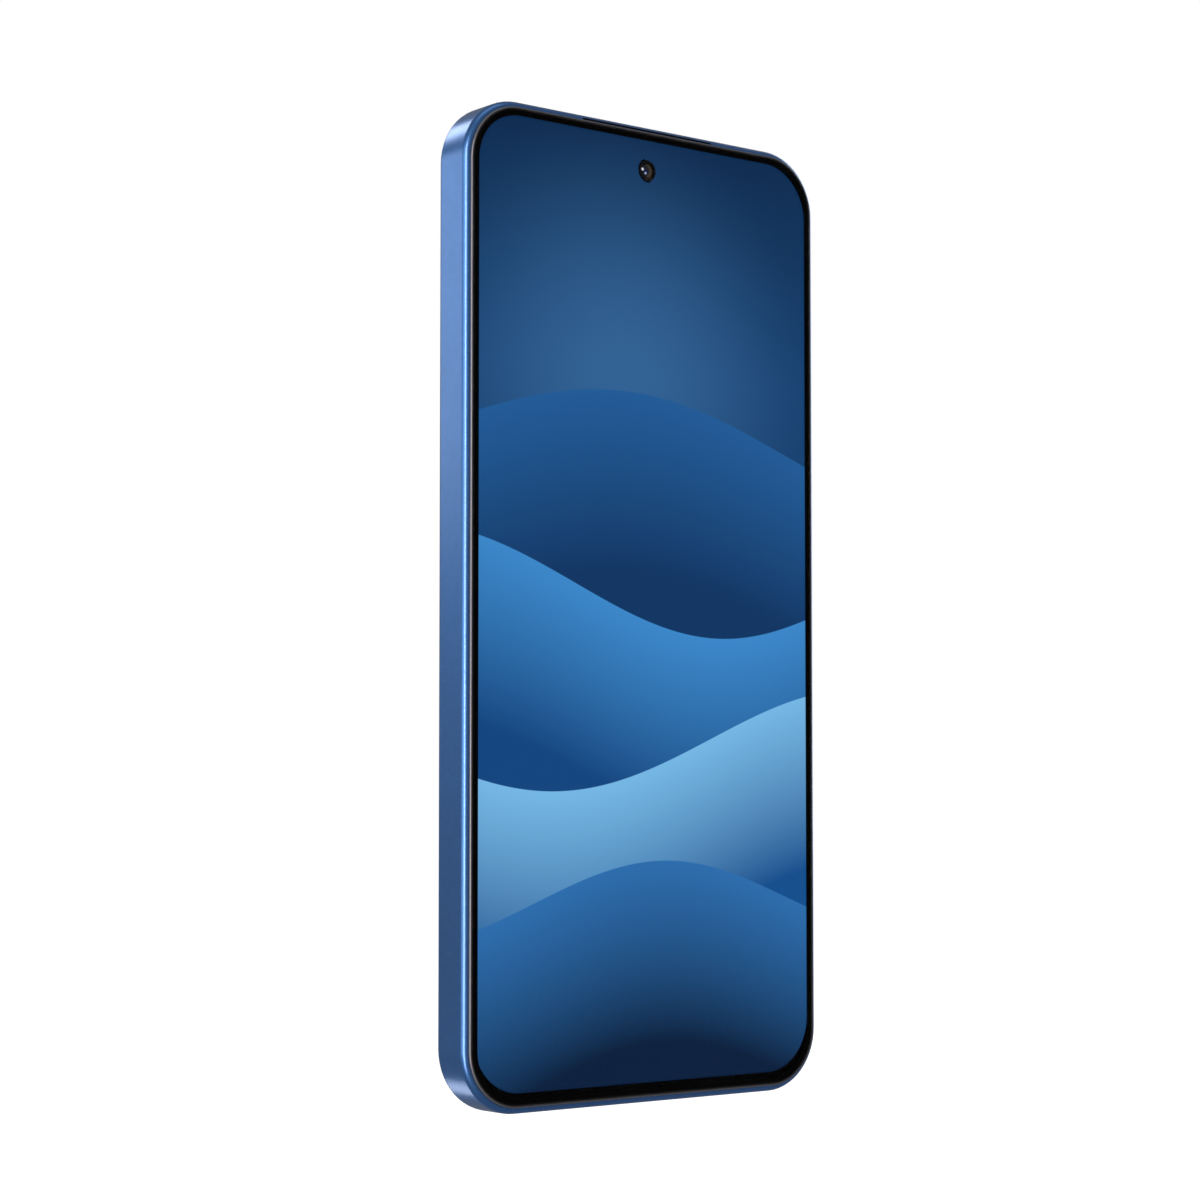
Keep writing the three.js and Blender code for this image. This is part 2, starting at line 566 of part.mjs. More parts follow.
function makeRearCamera(name, camera, z) {
  const seat = DECK_TOP + GAP / 5;
  add(`${name}_lens_ring`, lensRing(), "steel", [LENS_X, seat, z]);
  const window = plate(circle(LENS_RING.hole - GAP), 0, LENS_WINDOW_THICKNESS);
  add(`${name}_lens_window`, window, "lens", [LENS_X, seat, z]);

  const back = COVER_FRONT - SPACE / 2;
  const front = DECK_TOP - FIT;
  const seatOfLens = front - REAR_LENS.drop;
  const mouth = camera.lens + GAP;
  const body = plate(roundedRect(camera.side, camera.side, 1, 0, 0), back - camera.depth, back);
  const barrel = plate(circle(camera.barrel), back - FIT, front);
  const { rim, depth, lap } = BARREL_CONE;
  const cone = new THREE.CylinderGeometry(camera.barrel - rim, mouth, depth, ROUND_SEGMENTS);
  cone.translate(0, front - depth / 2 + 1e-3, 0);
  const pit = plate(circle(mouth), seatOfLens, front - depth + lap);
  const module = cut(joined([body, barrel]), [solidOf(cone), pit]);
  add(`${name}_camera_module`, module, "black", [LENS_X, 0, z]);
  const lens = domedLens(camera.lens, REAR_LENS.thickness, REAR_LENS.bulge).rotate([0, 0, 180]);
  add(`${name}_camera_lens`, lens, "lens", [LENS_X, seatOfLens + GAP / 5, z]);
}

function makeFlash() {
  const front = DECK_TOP - FLASH.thickness;
  const lens = plate(circle(FLASH.radius), front, DECK_TOP + FIT, { round: FLASH.edge, steps: 1 });
  add("flash_lens", lens, "white", [FLASH_X, 0, DECK_Z]);
  const half = FLASH.led / 2;
  const back = front - SPACE;
  const led = block([-half, half], [back - FLASH.ledThickness, back], [-half, half]);
  add("flash_led", led, "gold", [FLASH_X, 0, DECK_Z]);
}

// ---- boards ----

const screwHoles = (from, to, places) =>
  places.map(({ x, z }) => plate(circle(SCREW_HOLE, x, z, HOLE_SEGMENTS), from, to));

const boardOutline = (inset) => {
  const left = BOARD_LEFT + inset;
  const right = BOARD_RIGHT - inset;
  const bottom = BOARD_BOTTOM + inset;
  const top = BOARD_TOP - inset;
  const notch = NOTCH_BOTTOM - inset;
  return polygon(
    [left, bottom],
    [right, bottom],
    [right, top],
    [NOTCH_RIGHT + inset, top],
    [NOTCH_RIGHT + inset, notch],
    [NOTCH_LEFT - inset, notch],
    [NOTCH_LEFT - inset, top],
    [left, top],
  );
};

// A pressed can: a lid with walls that stand towards the board.
function can([x0, x1], [y0, y1], [z0, z1], openAtBack) {
  const shell = block([x0, x1], [y0, y1], [z0, z1]);
  const depths = openAtBack ? [y0 + CAN_WALL, y1 + 1] : [y0 - 1, y1 - CAN_WALL];
  const inner = block([x0 + CAN_WALL, x1 - CAN_WALL], depths, [z0 + CAN_WALL, z1 - CAN_WALL]);
  return shell.subtract(inner);
}

function makeMainBoard() {
  const holes = screwHoles(0, THICKNESS, UPPER_SCREWS);
  const board = insideFrame(plate(boardOutline(0), BOARD_FRONT, BOARD_BACK));
  add("main_board", cut(board, holes), "board");

  const canX = [-INNER_X + SHIELD.left, BOARD_RIGHT - SHIELD.right];
  const canZ = [BOARD_BOTTOM + SHIELD.bottom, NOTCH_BOTTOM - SHIELD.top];
  const frontDepths = [PLATE_BACK + GAP, BOARD_FRONT - GAP];
  add("front_shield_can", can(canX, frontDepths, canZ, true), "steel");
  const rearX = [canX[0], MAIN_FLEX.left - SHIELD.flexGap];
  const rearDepths = [BOARD_BACK + GAP, COVER_PLATE_FRONT - GAP];
  add("rear_shield_can", can(rearX, rearDepths, canZ, false), "steel");

  const lidOutline = boardOutline(BOARD_COVER_INSET);
  const lid = insideFrame(plate(lidOutline, COVER_PLATE_FRONT, COVER_PLATE_BACK));
  const posts = UPPER_SCREWS.map(({ x, z }) =>
    plate(circle(SCREW_POST, x, z, HOLE_SEGMENTS), BOARD_BACK + GAP, COVER_PLATE_FRONT + GAP),
  );
  add("board_cover", cut(joined([lid, ...posts]), holes), "black");

  const sheetX = [canX[0] - 1, canX[1]];
  const sheetDepth = COVER_PLATE_BACK + GAP;
  const nfc = plate(rectangle(...sheetX, canZ[0], canZ[1]), sheetDepth, sheetDepth + NFC_THICKNESS, {
    holes: [
      rectangle(sheetX[0] + NFC_TRACK, sheetX[1] - NFC_TRACK, canZ[0] + NFC_TRACK, canZ[1] - NFC_TRACK),
    ],
  });
  add("nfc_antenna", nfc, "gold");

  const micX = [TOP_MIC_X - MICROPHONE.width / 2, TOP_MIC_X + MICROPHONE.width / 2];
  const micTop = HEIGHT - FRAME_WALL - SPACE;
  const micDepths = [BOARD_BACK + GAP, BOARD_BACK + GAP + MICROPHONE.depth];
  add("top_microphone", block(micX, micDepths, [micTop - MICROPHONE.height, micTop]), "steel");
}

function makeBattery() {
  const half = WIDTH / 2 - BATTERY.side;
  const depths = [PLATE_BACK + FIT, COVER_FRONT - FLEX - SPACE];
  const cell = softBlock([-half, half], depths, [BATTERY.bottom, BATTERY_TOP], BATTERY.radius, BATTERY.round);
  add("battery", cell, "cell");
  const { left, right, reach, plugHeight, plugDepth, plugLip } = BATTERY_TAIL;
  const plug = BOARD_BACK + GAP + plugDepth;
  const end = BOARD_BOTTOM + reach;
  const route = [
    [plug, BATTERY_TOP + SPACE],
    [plug, end],
  ];
  const plugX = [left - plugLip, right + plugLip];
  const connector = block(plugX, [BOARD_BACK + GAP, plug], [end - plugHeight, end]);
  add("battery_connector", joined([ribbon(route, left, right), connector]), "gold");
}

function makeSubBoard() {
  const sheet = plate(
    rectangle(-INNER_X, LOUDSPEAKER.left - SPACE, 0, SUB_BOARD_TOP),
    SUB_BOARD_FRONT,
    SUB_BOARD_BACK,
  );
  const half = USB.width / 2 + SPACE;
  const notch = block([-half, half], [0, THICKNESS], [-1, USB.inset + USB.length + SPACE]);
  const holes = screwHoles(0, THICKNESS, SUB_BOARD_SCREWS);
  add("sub_board", cut(insideFrame(sheet), [notch, ...holes]), "board");

  const shellOutline = (inset) =>
    capsule(USB.width - 2 * inset, USB.depth - 2 * inset, 0, PORT_DEPTH, CAPSULE_STEPS);
  const end = USB.inset + USB.length;
  const bore = prism("z", shellOutline(USB.wall), 0, end - USB.wall);
  const shell = prism("z", shellOutline(0), USB.inset, end).subtract(bore);
  add("usb_shell", shell, "steel");
  const tongueEnd = end - USB.wall - GAP;
  const tongue = block(
    [-USB_TONGUE.width / 2, USB_TONGUE.width / 2],
    [PORT_DEPTH - USB_TONGUE.depth / 2, PORT_DEPTH + USB_TONGUE.depth / 2],
    [tongueEnd - USB_TONGUE.length, tongueEnd],
  );
  add("usb_tongue", tongue, "black");

  const micX = [BOTTOM_MIC_X - MICROPHONE.width / 2, BOTTOM_MIC_X + MICROPHONE.width / 2];
  const micZ = [FRAME_WALL + SPACE, FRAME_WALL + SPACE + MICROPHONE.height];
  const micBack = SUB_BOARD_FRONT - GAP;
  add("bottom_microphone", block(micX, [micBack - MICROPHONE.depth, micBack], micZ), "steel");

  const motorX = [MOTOR.side - MOTOR.width / 2, MOTOR.side + MOTOR.width / 2];
  const motorDepths = [PLATE_BACK + FIT, PLATE_BACK + FIT + MOTOR.depth];
  const motorZ = [MOTOR.bottom, MOTOR.bottom + MOTOR.height];
  add("vibration_motor", softBlock(motorX, motorDepths, motorZ, 1, 0.2), "steel");
}

function makeLoudspeaker() {
  const { left, top, depth, radius } = LOUDSPEAKER;
  const front = PLATE_BACK + FIT;
  const box = softBlock([left, INNER_X], [front, front + depth], [0, top], radius, 0);
  const corner = LOUDSPEAKER_SCREW;
  const stepStart = { x: corner.x - LOUDSPEAKER.step, z: corner.z - LOUDSPEAKER.step };
  const earStart = { x: corner.x - LOUDSPEAKER.ear, z: corner.z - LOUDSPEAKER.ear };
  const stepDepths = [front - 1, front + depth + 1];
  const step = block([stepStart.x, INNER_X + 1], stepDepths, [stepStart.z, top + 1]);
  const earDepths = [SUB_BOARD_FRONT, SUB_BOARD_BACK];
  const ear = block([earStart.x, INNER_X], earDepths, [earStart.z, top]);
  const port = block(
    [GRILLE.first - 1, GRILLE_LAST + 1],
    [PORT_DEPTH - 1, PORT_DEPTH + 1],
    [0, FRAME_WALL + LOUDSPEAKER.port],
  );
  const body = insideFrame(joined([cut(box, [step]), ear]));
  const holes = screwHoles(0, THICKNESS, [corner]);
  add("loudspeaker_box", cut(body, [port, ...holes]), "black");

  const mesh = SPEAKER_MESH;
  const meshX = [GRILLE.first - mesh.halfDepth, GRILLE_LAST + mesh.halfDepth];
  const meshDepths = [PORT_DEPTH - mesh.halfDepth, PORT_DEPTH + mesh.halfDepth];
  const meshFront = FRAME_WALL + mesh.front;
  add("speaker_mesh", block(meshX, meshDepths, [meshFront, meshFront + mesh.thickness]), "black");
}

function makeMainFlex() {
  const over = COVER_FRONT - FLEX / 2 - FIT;
  const onBoard = BOARD_BACK + GAP + FLEX / 2;
  const onSubBoard = SUB_BOARD_BACK + GAP + FLEX / 2;
  const below = BATTERY.bottom - SPACE;
  const above = BATTERY_TOP + SPACE + MAIN_FLEX.topGap;
  const route = [
    [onSubBoard, SUB_BOARD_TOP - MAIN_FLEX.overSubBoard],
    [onSubBoard, below],
    [over, below],
    [over, above],
    [onBoard, above],
    [onBoard, BOARD_BOTTOM + MAIN_FLEX.overBoard],
  ];
  add("main_flex", ribbon(route, MAIN_FLEX.left, MAIN_FLEX.right), "gold");
}

function makeCoax() {
  const { radius, plug, plugHeight, steps } = COAX;
  const { bend, straight, lean } = COAX_PATH;
  const side = -INNER_X + COAX.side;
  const plugX = -INNER_X + COAX.plugSide;
  const low = SUB_BOARD_BACK + GAP + plugHeight / 2;
  const high = BOARD_BACK + GAP + plugHeight / 2;
  const lowZ = SUB_BOARD_TOP - COAX_PATH.low;
  const highZ = BOARD_BOTTOM + COAX_PATH.high;
  const curve = new THREE.CatmullRomCurve3(
    [
      [plugX, low, lowZ],
      [plugX - lean, low, lowZ + bend],
      [side, low, lowZ + straight],
      [side, (low + high) / 2, (lowZ + highZ) / 2],
      [side, high, highZ - straight],
      [plugX - lean, high, highZ - bend],
      [plugX, high, highZ],
    ].map((p) => new THREE.Vector3(...p)),
  );
  const section = new THREE.Shape(circle(radius, 0, 0, HOLE_SEGMENTS));
  const wire = new THREE.ExtrudeGeometry(section, { extrudePath: curve, steps, bevelEnabled: false });
  const plugs = [
    [low, lowZ],
    [high, highZ],
  ].map(([y, z]) => plate(circle(plug, plugX, z, HOLE_SEGMENTS), y - plugHeight / 2, y + plugHeight / 2));
  add("antenna_coax", joined([solidOf(wire), ...plugs]), "black");
}

// ---- side keys ----

// A key drawn about its own centre: cap, retaining flange and the nubs that press the switches.
function sideKey({ length, flange }, nubHeights) {
  const capOutline = capsule(KEY_WIDTH, length, 0, 0, CAPSULE_STEPS);
  const cap = prism("x", capOutline, FLANGE_IN, WIDTH / 2 + KEY_PROUD, { round: KEY_EDGE });
  const { lip } = KEY_FLANGE;
  const stop = roundedRect(KEY_WIDTH + 2 * lip, flange, lip);
  const nubs = nubHeights.map((z) => {
    const outline = roundedRect(KEY_NUB.width, KEY_NUB.height, 0.3, 0, z);
    return prism("x", outline, NUB_IN, FLANGE_IN + FIT);
  });
  return joined([cap, prism("x", stop, FLANGE_IN, FLANGE_OUT), ...nubs]);
}

function makeKeys() {
  const powerZ = HEIGHT - POWER_KEY.drop;
  const volumeZ = HEIGHT - VOLUME_KEY.drop;
  const reach = VOLUME_NUB_PITCH / 2;
  add("power_button", sideKey(POWER_KEY, [0]), "frame", [0, PORT_DEPTH, powerZ]);
  const rocker = sideKey(VOLUME_KEY, [-reach, reach]);
  add("volume_rocker", rocker, "frame", [0, PORT_DEPTH, volumeZ]);

  const dome = prism("x", roundedRect(SWITCH.width, SWITCH.height, 0.4), SWITCH_IN, SWITCH_OUT);
  const switches = { power_switch: powerZ, volume_up_switch: volumeZ + reach };
  switches.volume_down_switch = volumeZ - reach;
  for (const [name, z] of Object.entries(switches)) add(name, dome, "steel", [0, PORT_DEPTH, z]);

  const low = powerZ - POWER_KEY.length / 2 - KEY_BRACKET.overhang;
  const high = volumeZ + VOLUME_KEY.length / 2 + KEY_BRACKET.overhang;
  const halfWidth = KEY_BRACKET.width / 2;
  const depths = [PORT_DEPTH - halfWidth, PORT_DEPTH + halfWidth];
  const strip = block([KEY_FLEX_IN, KEY_FLEX_IN + FLEX], depths, [low, high]);
  const tailZ = (MAIN_Z + WIDE_Z) / 2;
  const [tailBottom, tailTop] = [tailZ - KEY_FLEX_TAIL.halfWidth, tailZ + KEY_FLEX_TAIL.halfWidth];
  const tailDepth = BOARD_BACK + GAP;
  const tail = block(
    [BOARD_RIGHT - KEY_FLEX_TAIL.overlap, KEY_FLEX_IN + FLEX],
    [tailDepth, tailDepth + FLEX],
    [tailBottom, tailTop],
  );
  const rise = block([KEY_FLEX_IN, KEY_FLEX_IN + FLEX], depths, [high - 1, tailTop]);
  add("side_key_flex", joined([strip, rise, tail]), "gold");
  const bracket = block([BRACKET_OUT - KEY_BRACKET.thickness, BRACKET_OUT], depths, [low, high]);
  const passage = block(
    [0, WIDTH],
    [tailDepth - FIT, tailDepth + FLEX + FIT],
    [tailBottom - SPACE, tailTop + SPACE],
  );
  add("side_key_bracket", bracket.subtract(passage), "steel");
}

// ---- card tray and ejector ----

function makeTray() {
  const capOutline = capsule(TRAY_CAP.width, TRAY_CAP.depth, TRAY_X, PORT_DEPTH, CAPSULE_STEPS);
  const cap = prism("z", capOutline, 0, TRAY_CAP.height);
  const xs = [TRAY_X - TRAY.width / 2, TRAY_X + TRAY.width / 2];
  const depths = [PORT_DEPTH - TRAY.depth / 2, PORT_DEPTH + TRAY.depth / 2];
  const body = softBlock(xs, depths, [TRAY_CAP.height - FIT, TRAY_CAP.height + TRAY.length], 0.05, 0);
  const { width, height, count, web, first, lip, floor } = CARD_POCKET;
  const pockets = Array.from({ length: count }, (_, i) => {
    const z = first + height / 2 + i * (height + web);
    return joined([
      plate(roundedRect(width, height, 0.6, TRAY_X, z), depths[0] - 1, PORT_DEPTH + floor),
      plate(roundedRect(width - 2 * lip, height - 2 * lip, 0.4, TRAY_X, z), 0, THICKNESS),
    ]);
  });
  const flush = cap.intersect(frameBody());
  add("sim_tray", cut(joined([flush, body]), pockets), "frame");

  const sealZ = [TRAY_CAP.height + GAP, TRAY_CAP.height + GAP + SEAL_HEIGHT];
  const bite = 2 * GAP;
  const outer = capsule(TRAY_SLOT.width - bite, TRAY_SLOT.depth - bite, TRAY_X, PORT_DEPTH);
  const inner = roundedRect(TRAY.width + bite, TRAY.depth + bite, 0.1, TRAY_X, PORT_DEPTH);
  add("tray_seal", prism("z", outer, ...sealZ, { holes: [inner] }), "rubber");
}

function makeReader() {
  const { wall, foot, footHeight, footDrop, top } = READER;
  const halfX = TRAY.width / 2 + SPACE + wall;
  const halfY = TRAY.depth / 2 + SPACE / 2 + wall;
  const z = [FRAME_WALL + SPACE, top];
  const shell = block([TRAY_X - halfX, TRAY_X + halfX], [PORT_DEPTH - halfY, PORT_DEPTH + halfY], z);
  const tunnel = block(
    [TRAY_X - halfX + wall, TRAY_X + halfX - wall],
    [PORT_DEPTH - halfY + wall, PORT_DEPTH + halfY - wall],
    [0, top + 1],
  );
  const footDepths = [PORT_DEPTH + halfY - wall, SUB_BOARD_FRONT - GAP];
  const footZ = [top - footDrop - footHeight, top - footDrop];
  const feet = [TRAY_X - halfX, TRAY_X + halfX].map((x) =>
    block([x - foot / 2, x + foot / 2], footDepths, footZ),
  );
  add("sim_reader", cut(insideFrame(joined([shell, ...feet])), [tunnel]), "steel");
}

function makeEjector() {
  const { side, depth, bottom, top } = EJECT_ROD;
  const depths = [PORT_DEPTH - depth / 2, PORT_DEPTH + depth / 2];
  const rod = softBlock([EJECT_X - side / 2, EJECT_X + side / 2], depths, [bottom, top], 0.15, 0);
  add("eject_rod", rod, "steel");

  const halfHeight = LEVER.height / 2;
  const beam = softBlock(
    [-LEVER.longArm, LEVER.shortArm + side / 2],
    [-LEVER.depth / 2, LEVER.depth / 2],
    [-halfHeight, halfHeight],
    0.3,
    0,
  );
  const boss = plate(circle(LEVER.boss, 0, 0, PIN_SEGMENTS), -LEVER.depth / 2, LEVER.depth / 2);
  const bore = plate(circle(LEVER_PIN.radius + FIT, 0, 0, PIN_SEGMENTS), -1, 1);
  add("eject_lever", cut(joined([beam, boss]), [bore]), "steel", [PIVOT_X, PORT_DEPTH, PIVOT_Z]);
  const { radius, head, headHeight } = LEVER_PIN;
  const headFront = PORT_DEPTH - LEVER.depth / 2 - FIT - headHeight;
  const pin = joined([
    plate(circle(radius, 0, 0, PIN_SEGMENTS), headFront + headHeight / 2, SUB_BOARD_FRONT - GAP),
    plate(circle(head, 0, 0, PIN_SEGMENTS), headFront, headFront + headHeight),
  ]);
  add("lever_pin", pin, "steel", [PIVOT_X, 0, PIVOT_Z]);
}

// ---- screws ----

function makeScrews() {
  const { head, headHeight, headEdge, shank, grip } = SCREW;
  const { depth, arm, halfWidth } = SCREW_RECESS;
  SCREW_PLACES.forEach(({ x, z, boss, seat }, i) => {
    const top = seat + GAP + headHeight;
    const tip = Math.max(PLATE_BACK + FIT, boss - grip);
    const profile = [
      [0, tip],
      [shank, tip],
      [shank, seat + GAP],
      [head, seat + GAP],
      [head, top - headEdge],
      [head - headEdge, top],
      [0, top],
    ].map(([r, y]) => new THREE.Vector2(r, y));
    const body = solidOf(new THREE.LatheGeometry(profile, HOLE_SEGMENTS));
    const recess = [top - depth, top + 1];
    const arms = [
      block([-arm, arm], recess, [-halfWidth, halfWidth]),
      block([-halfWidth, halfWidth], recess, [-arm, arm]),
    ];
    add(`screw_${i + 1}`, cut(body, arms), "steel", [x, 0, z]);
  });
}

makeHousing();
makeDisplay();
makeFrontCamera();
makeEarpiece();
makeCameraDeck();
makeRearCamera("main", MAIN_CAMERA, MAIN_Z);
makeRearCamera("wide", WIDE_CAMERA, WIDE_Z);
makeFlash();
makeMainBoard();
makeBattery();
makeSubBoard();
makeLoudspeaker();
makeMainFlex();
makeCoax();
makeKeys();
makeTray();
makeReader();
makeEjector();
makeScrews();

export default phone;
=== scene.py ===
"""Finishes, lit screen, lens glass, camera and plain studio for the smartphone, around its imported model.
Metres. The screen faces -Y, +Z runs up the long side and the phone stands on its bottom edge."""

import math

import bmesh
import bpy
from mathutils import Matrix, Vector


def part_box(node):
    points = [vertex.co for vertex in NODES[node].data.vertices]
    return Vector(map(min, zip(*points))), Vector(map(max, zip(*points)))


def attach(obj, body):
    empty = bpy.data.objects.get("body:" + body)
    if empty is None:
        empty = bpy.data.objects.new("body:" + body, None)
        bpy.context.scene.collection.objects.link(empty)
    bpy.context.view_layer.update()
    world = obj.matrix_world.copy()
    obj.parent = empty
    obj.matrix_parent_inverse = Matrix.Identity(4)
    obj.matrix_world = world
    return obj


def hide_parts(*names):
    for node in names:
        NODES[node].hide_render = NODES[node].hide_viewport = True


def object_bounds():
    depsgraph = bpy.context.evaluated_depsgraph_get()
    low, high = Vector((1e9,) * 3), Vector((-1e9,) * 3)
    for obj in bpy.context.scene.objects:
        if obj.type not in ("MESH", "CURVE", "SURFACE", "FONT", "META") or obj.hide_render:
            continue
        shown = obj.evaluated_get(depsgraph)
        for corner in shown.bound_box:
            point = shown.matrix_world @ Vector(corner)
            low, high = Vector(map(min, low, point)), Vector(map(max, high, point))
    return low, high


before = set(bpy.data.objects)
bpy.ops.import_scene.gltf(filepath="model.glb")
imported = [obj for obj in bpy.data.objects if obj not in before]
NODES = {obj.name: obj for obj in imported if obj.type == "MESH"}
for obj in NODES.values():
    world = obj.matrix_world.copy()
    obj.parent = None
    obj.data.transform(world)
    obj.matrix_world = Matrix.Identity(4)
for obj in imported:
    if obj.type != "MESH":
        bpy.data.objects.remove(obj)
CAD_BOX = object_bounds()
MM = 0.001

# Screen: the lit area inside the black border, in millimetres
SCREEN_WIDTH = 70.98
SCREEN_HEIGHT = 157.34
SCREEN_BOTTOM = 3.33
SCREEN_CORNER = 9.09
GLASS_CORNER = 9.5
EDGE_SOFTNESS = 0.07

# Camera, placed from the middle of the screen's bottom edge
CAMERA_PLACE = (-281.35, -343.27, 50.58)
CAMERA_HEADING = math.radians(38.26)
CAMERA_TILT = math.radians(2.79)
CAMERA_LENS = 80.08
CAMERA_SHIFT = 0.055

# Turned pieces
TURN_STEPS = 64
SHARP_ANGLE = math.radians(38)


# ---- wiring of node trees ----


def paint(red, green, blue):
    """A colour given in display values from 0 to 255, as linear light."""

    def channel(value):
        value /= 255
        return value / 12.92 if value <= 0.04045 else ((value + 0.055) / 1.055) ** 2.4

    return (channel(red), channel(green), channel(blue), 1)


class Sheet:
    """Short calls that add and link the nodes of one tree."""

    def __init__(self, tree):
        self.tree = tree

    def node(self, kind, **settings):
        made = self.tree.nodes.new(kind)
        for name, value in settings.items():
            setattr(made, name, value)
        return made

    def feed(self, socket, value):
        if isinstance(value, bpy.types.NodeSocket):
            self.tree.links.new(value, socket)
        else:
            socket.default_value = value

    def calc(self, operation, *values, clamp=False):
        made = self.node("ShaderNodeMath", operation=operation, use_clamp=clamp)
        for socket, value in zip(made.inputs, values):
            self.feed(socket, value)
        return made.outputs[0]

    def split(self, vector):
        made = self.node("ShaderNodeSeparateXYZ")
        self.feed(made.inputs[0], vector)
        return made.outputs

    def step(self, value, low, high, start=0.0, end=1.0):
        """Smooth change from start to end as value goes from low to high."""
        made = self.node("ShaderNodeMapRange", interpolation_type="SMOOTHSTEP")
        for socket, number in zip(made.inputs, (value, low, high, start, end)):
            self.feed(socket, number)
        return made.outputs[0]

    def line(self, value, low, high, start=0.0, end=1.0):
        """Straight change from start to end as value goes from low to high, held at both ends."""
        made = self.node("ShaderNodeMapRange")
        for socket, number in zip(made.inputs, (value, low, high, start, end)):
            self.feed(socket, number)
        return made.outputs[0]

    def mix(self, factor, first, second):
        made = self.node("ShaderNodeMix", data_type="RGBA")
        for socket, value in zip((made.inputs[0], made.inputs[6], made.inputs[7]), (factor, first, second)):
            self.feed(socket, value)
        return made.outputs[2]

    def scale_colour(self, colour, amount):
        made = self.node("ShaderNodeVectorMath", operation="SCALE")
        self.feed(made.inputs[0], colour)
        self.feed(made.inputs["Scale"], amount)
        return made.outputs[0]

    def ramp(self, value, stops):
        """Colour along stops, each a position from 0 to 1 and a colour."""
        made = self.node("ShaderNodeValToRGB")
        self.feed(made.inputs[0], value)
        elements = made.color_ramp.elements
        while len(elements) < len(stops):
            elements.new(1.0)
        for element, (position, colour) in zip(elements, stops):
            element.position = position
            element.color = colour
        return made.outputs[0]

    def noise(self, vector, size, detail=2.0):
        """Noise whose patches are about size millimetres across."""
        made = self.node("ShaderNodeTexNoise")
        self.feed(made.inputs["Vector"], vector)
        self.feed(made.inputs["Scale"], self.calc("DIVIDE", 1.0, size))
        made.inputs["Detail"].default_value = detail
        return made.outputs[0]

    def place(self):
        """Where a point lies on the phone, in millimetres."""
        coordinates = self.node("ShaderNodeTexCoord")
        made = self.node("ShaderNodeVectorMath", operation="SCALE")
        self.feed(made.inputs[0], coordinates.outputs["Object"])
        made.inputs["Scale"].default_value = 1 / MM
        return made.outputs[0]

    def group(self, tree, **inputs):
        made = self.node("ShaderNodeGroup", node_tree=tree)
        for name, value in inputs.items():
            self.feed(made.inputs[name.replace("_", " ")], value)
        return made.outputs

    def bump(self, height, distance, strength=1.0):
        made = self.node("ShaderNodeBump")
        made.inputs["Strength"].default_value = strength
        made.inputs["Distance"].default_value = distance * MM
        self.feed(made.inputs["Height"], height)
        return made.outputs[0]


def new_group(name, inputs, outputs):
    """An empty node group with its sockets: the tree, its Sheet, its input sockets and its output node."""
    tree = bpy.data.node_groups.new(name, "ShaderNodeTree")
    kinds = {"number": "NodeSocketFloat", "colour": "NodeSocketColor", "vector": "NodeSocketVector"}
    for label, kind in inputs:
        tree.interface.new_socket(label, in_out="INPUT", socket_type=kinds[kind])
    for label, kind in outputs:
        tree.interface.new_socket(label, in_out="OUTPUT", socket_type=kinds[kind])
    sheet = Sheet(tree)
    taken = sheet.node("NodeGroupInput").outputs
    given = sheet.node("NodeGroupOutput").inputs
    return tree, sheet, taken, given


def new_material(name, **constants):
    """A material with one Principled shader. Returns the material, its Sheet and the shader's inputs."""
    material = bpy.data.materials.new(name)
    material.use_nodes = True
    material.node_tree.nodes.clear()
    sheet = Sheet(material.node_tree)
    shader = sheet.node("ShaderNodeBsdfPrincipled")
    output = sheet.node("ShaderNodeOutputMaterial")
    sheet.feed(output.inputs["Surface"], shader.outputs[0])
    for label, value in constants.items():
        shader.inputs[label.replace("_", " ")].default_value = value
    return material, sheet, shader.inputs


# ---- effects that several finishes share ----


def make_grain():
    """Fine speckle of a painted, moulded or blasted skin."""
    tree, sheet, taken, given = new_group(
        "Fine grain",
        [("Place", "vector"), ("Size", "number"), ("Tint", "colour"), ("Amount", "number")],
        [("Color", "colour"), ("Height", "number")],
    )
    fine = sheet.noise(taken["Place"], taken["Size"], 3.0)
    broad = sheet.noise(taken["Place"], sheet.calc("MULTIPLY", taken["Size"], 9.0), 1.0)
    speckle = sheet.calc("ADD", fine, sheet.calc("MULTIPLY", broad, 0.35))
    offset = sheet.calc("SUBTRACT", speckle, 0.675)
    gain = sheet.calc("MULTIPLY_ADD", offset, taken["Amount"], 1.0)
    sheet.feed(given["Color"], sheet.scale_colour(taken["Tint"], gain))
    sheet.feed(given["Height"], speckle)
    return tree


def make_handling():
    """Broad faint patches where a surface has been wiped or handled, as a roughness."""
    tree, sheet, taken, given = new_group(
        "Handling",
        [("Place", "vector"), ("Clean", "number"), ("Marked", "number")],
        [("Roughness", "number")],
    )
    patches = sheet.noise(taken["Place"], 14.0, 4.0)
    smear = sheet.step(patches, 0.42, 0.68, taken["Clean"], taken["Marked"])
    sheet.feed(given["Roughness"], smear)
    return tree


def make_brushing():
    """Long fine lines of brushed or drawn metal, along the long side."""
    tree, sheet, taken, given = new_group(
        "Brushing",
        [("Place", "vector"), ("Tint", "colour")],
        [("Color", "colour"), ("Roughness", "number"), ("Height", "number")],
    )
    stretched = sheet.node("ShaderNodeVectorMath", operation="MULTIPLY")
    sheet.feed(stretched.inputs[0], taken["Place"])
    stretched.inputs[1].default_value = (1, 1, 0.05)
    lines = sheet.noise(stretched.outputs[0], 0.09, 2.0)
    sheet.feed(given["Color"], sheet.scale_colour(taken["Tint"], sheet.line(lines, 0.2, 0.8, 0.82, 1.12)))
    sheet.feed(given["Roughness"], sheet.line(lines, 0.2, 0.8, 0.24, 0.42))
    sheet.feed(given["Height"], lines)
    return tree


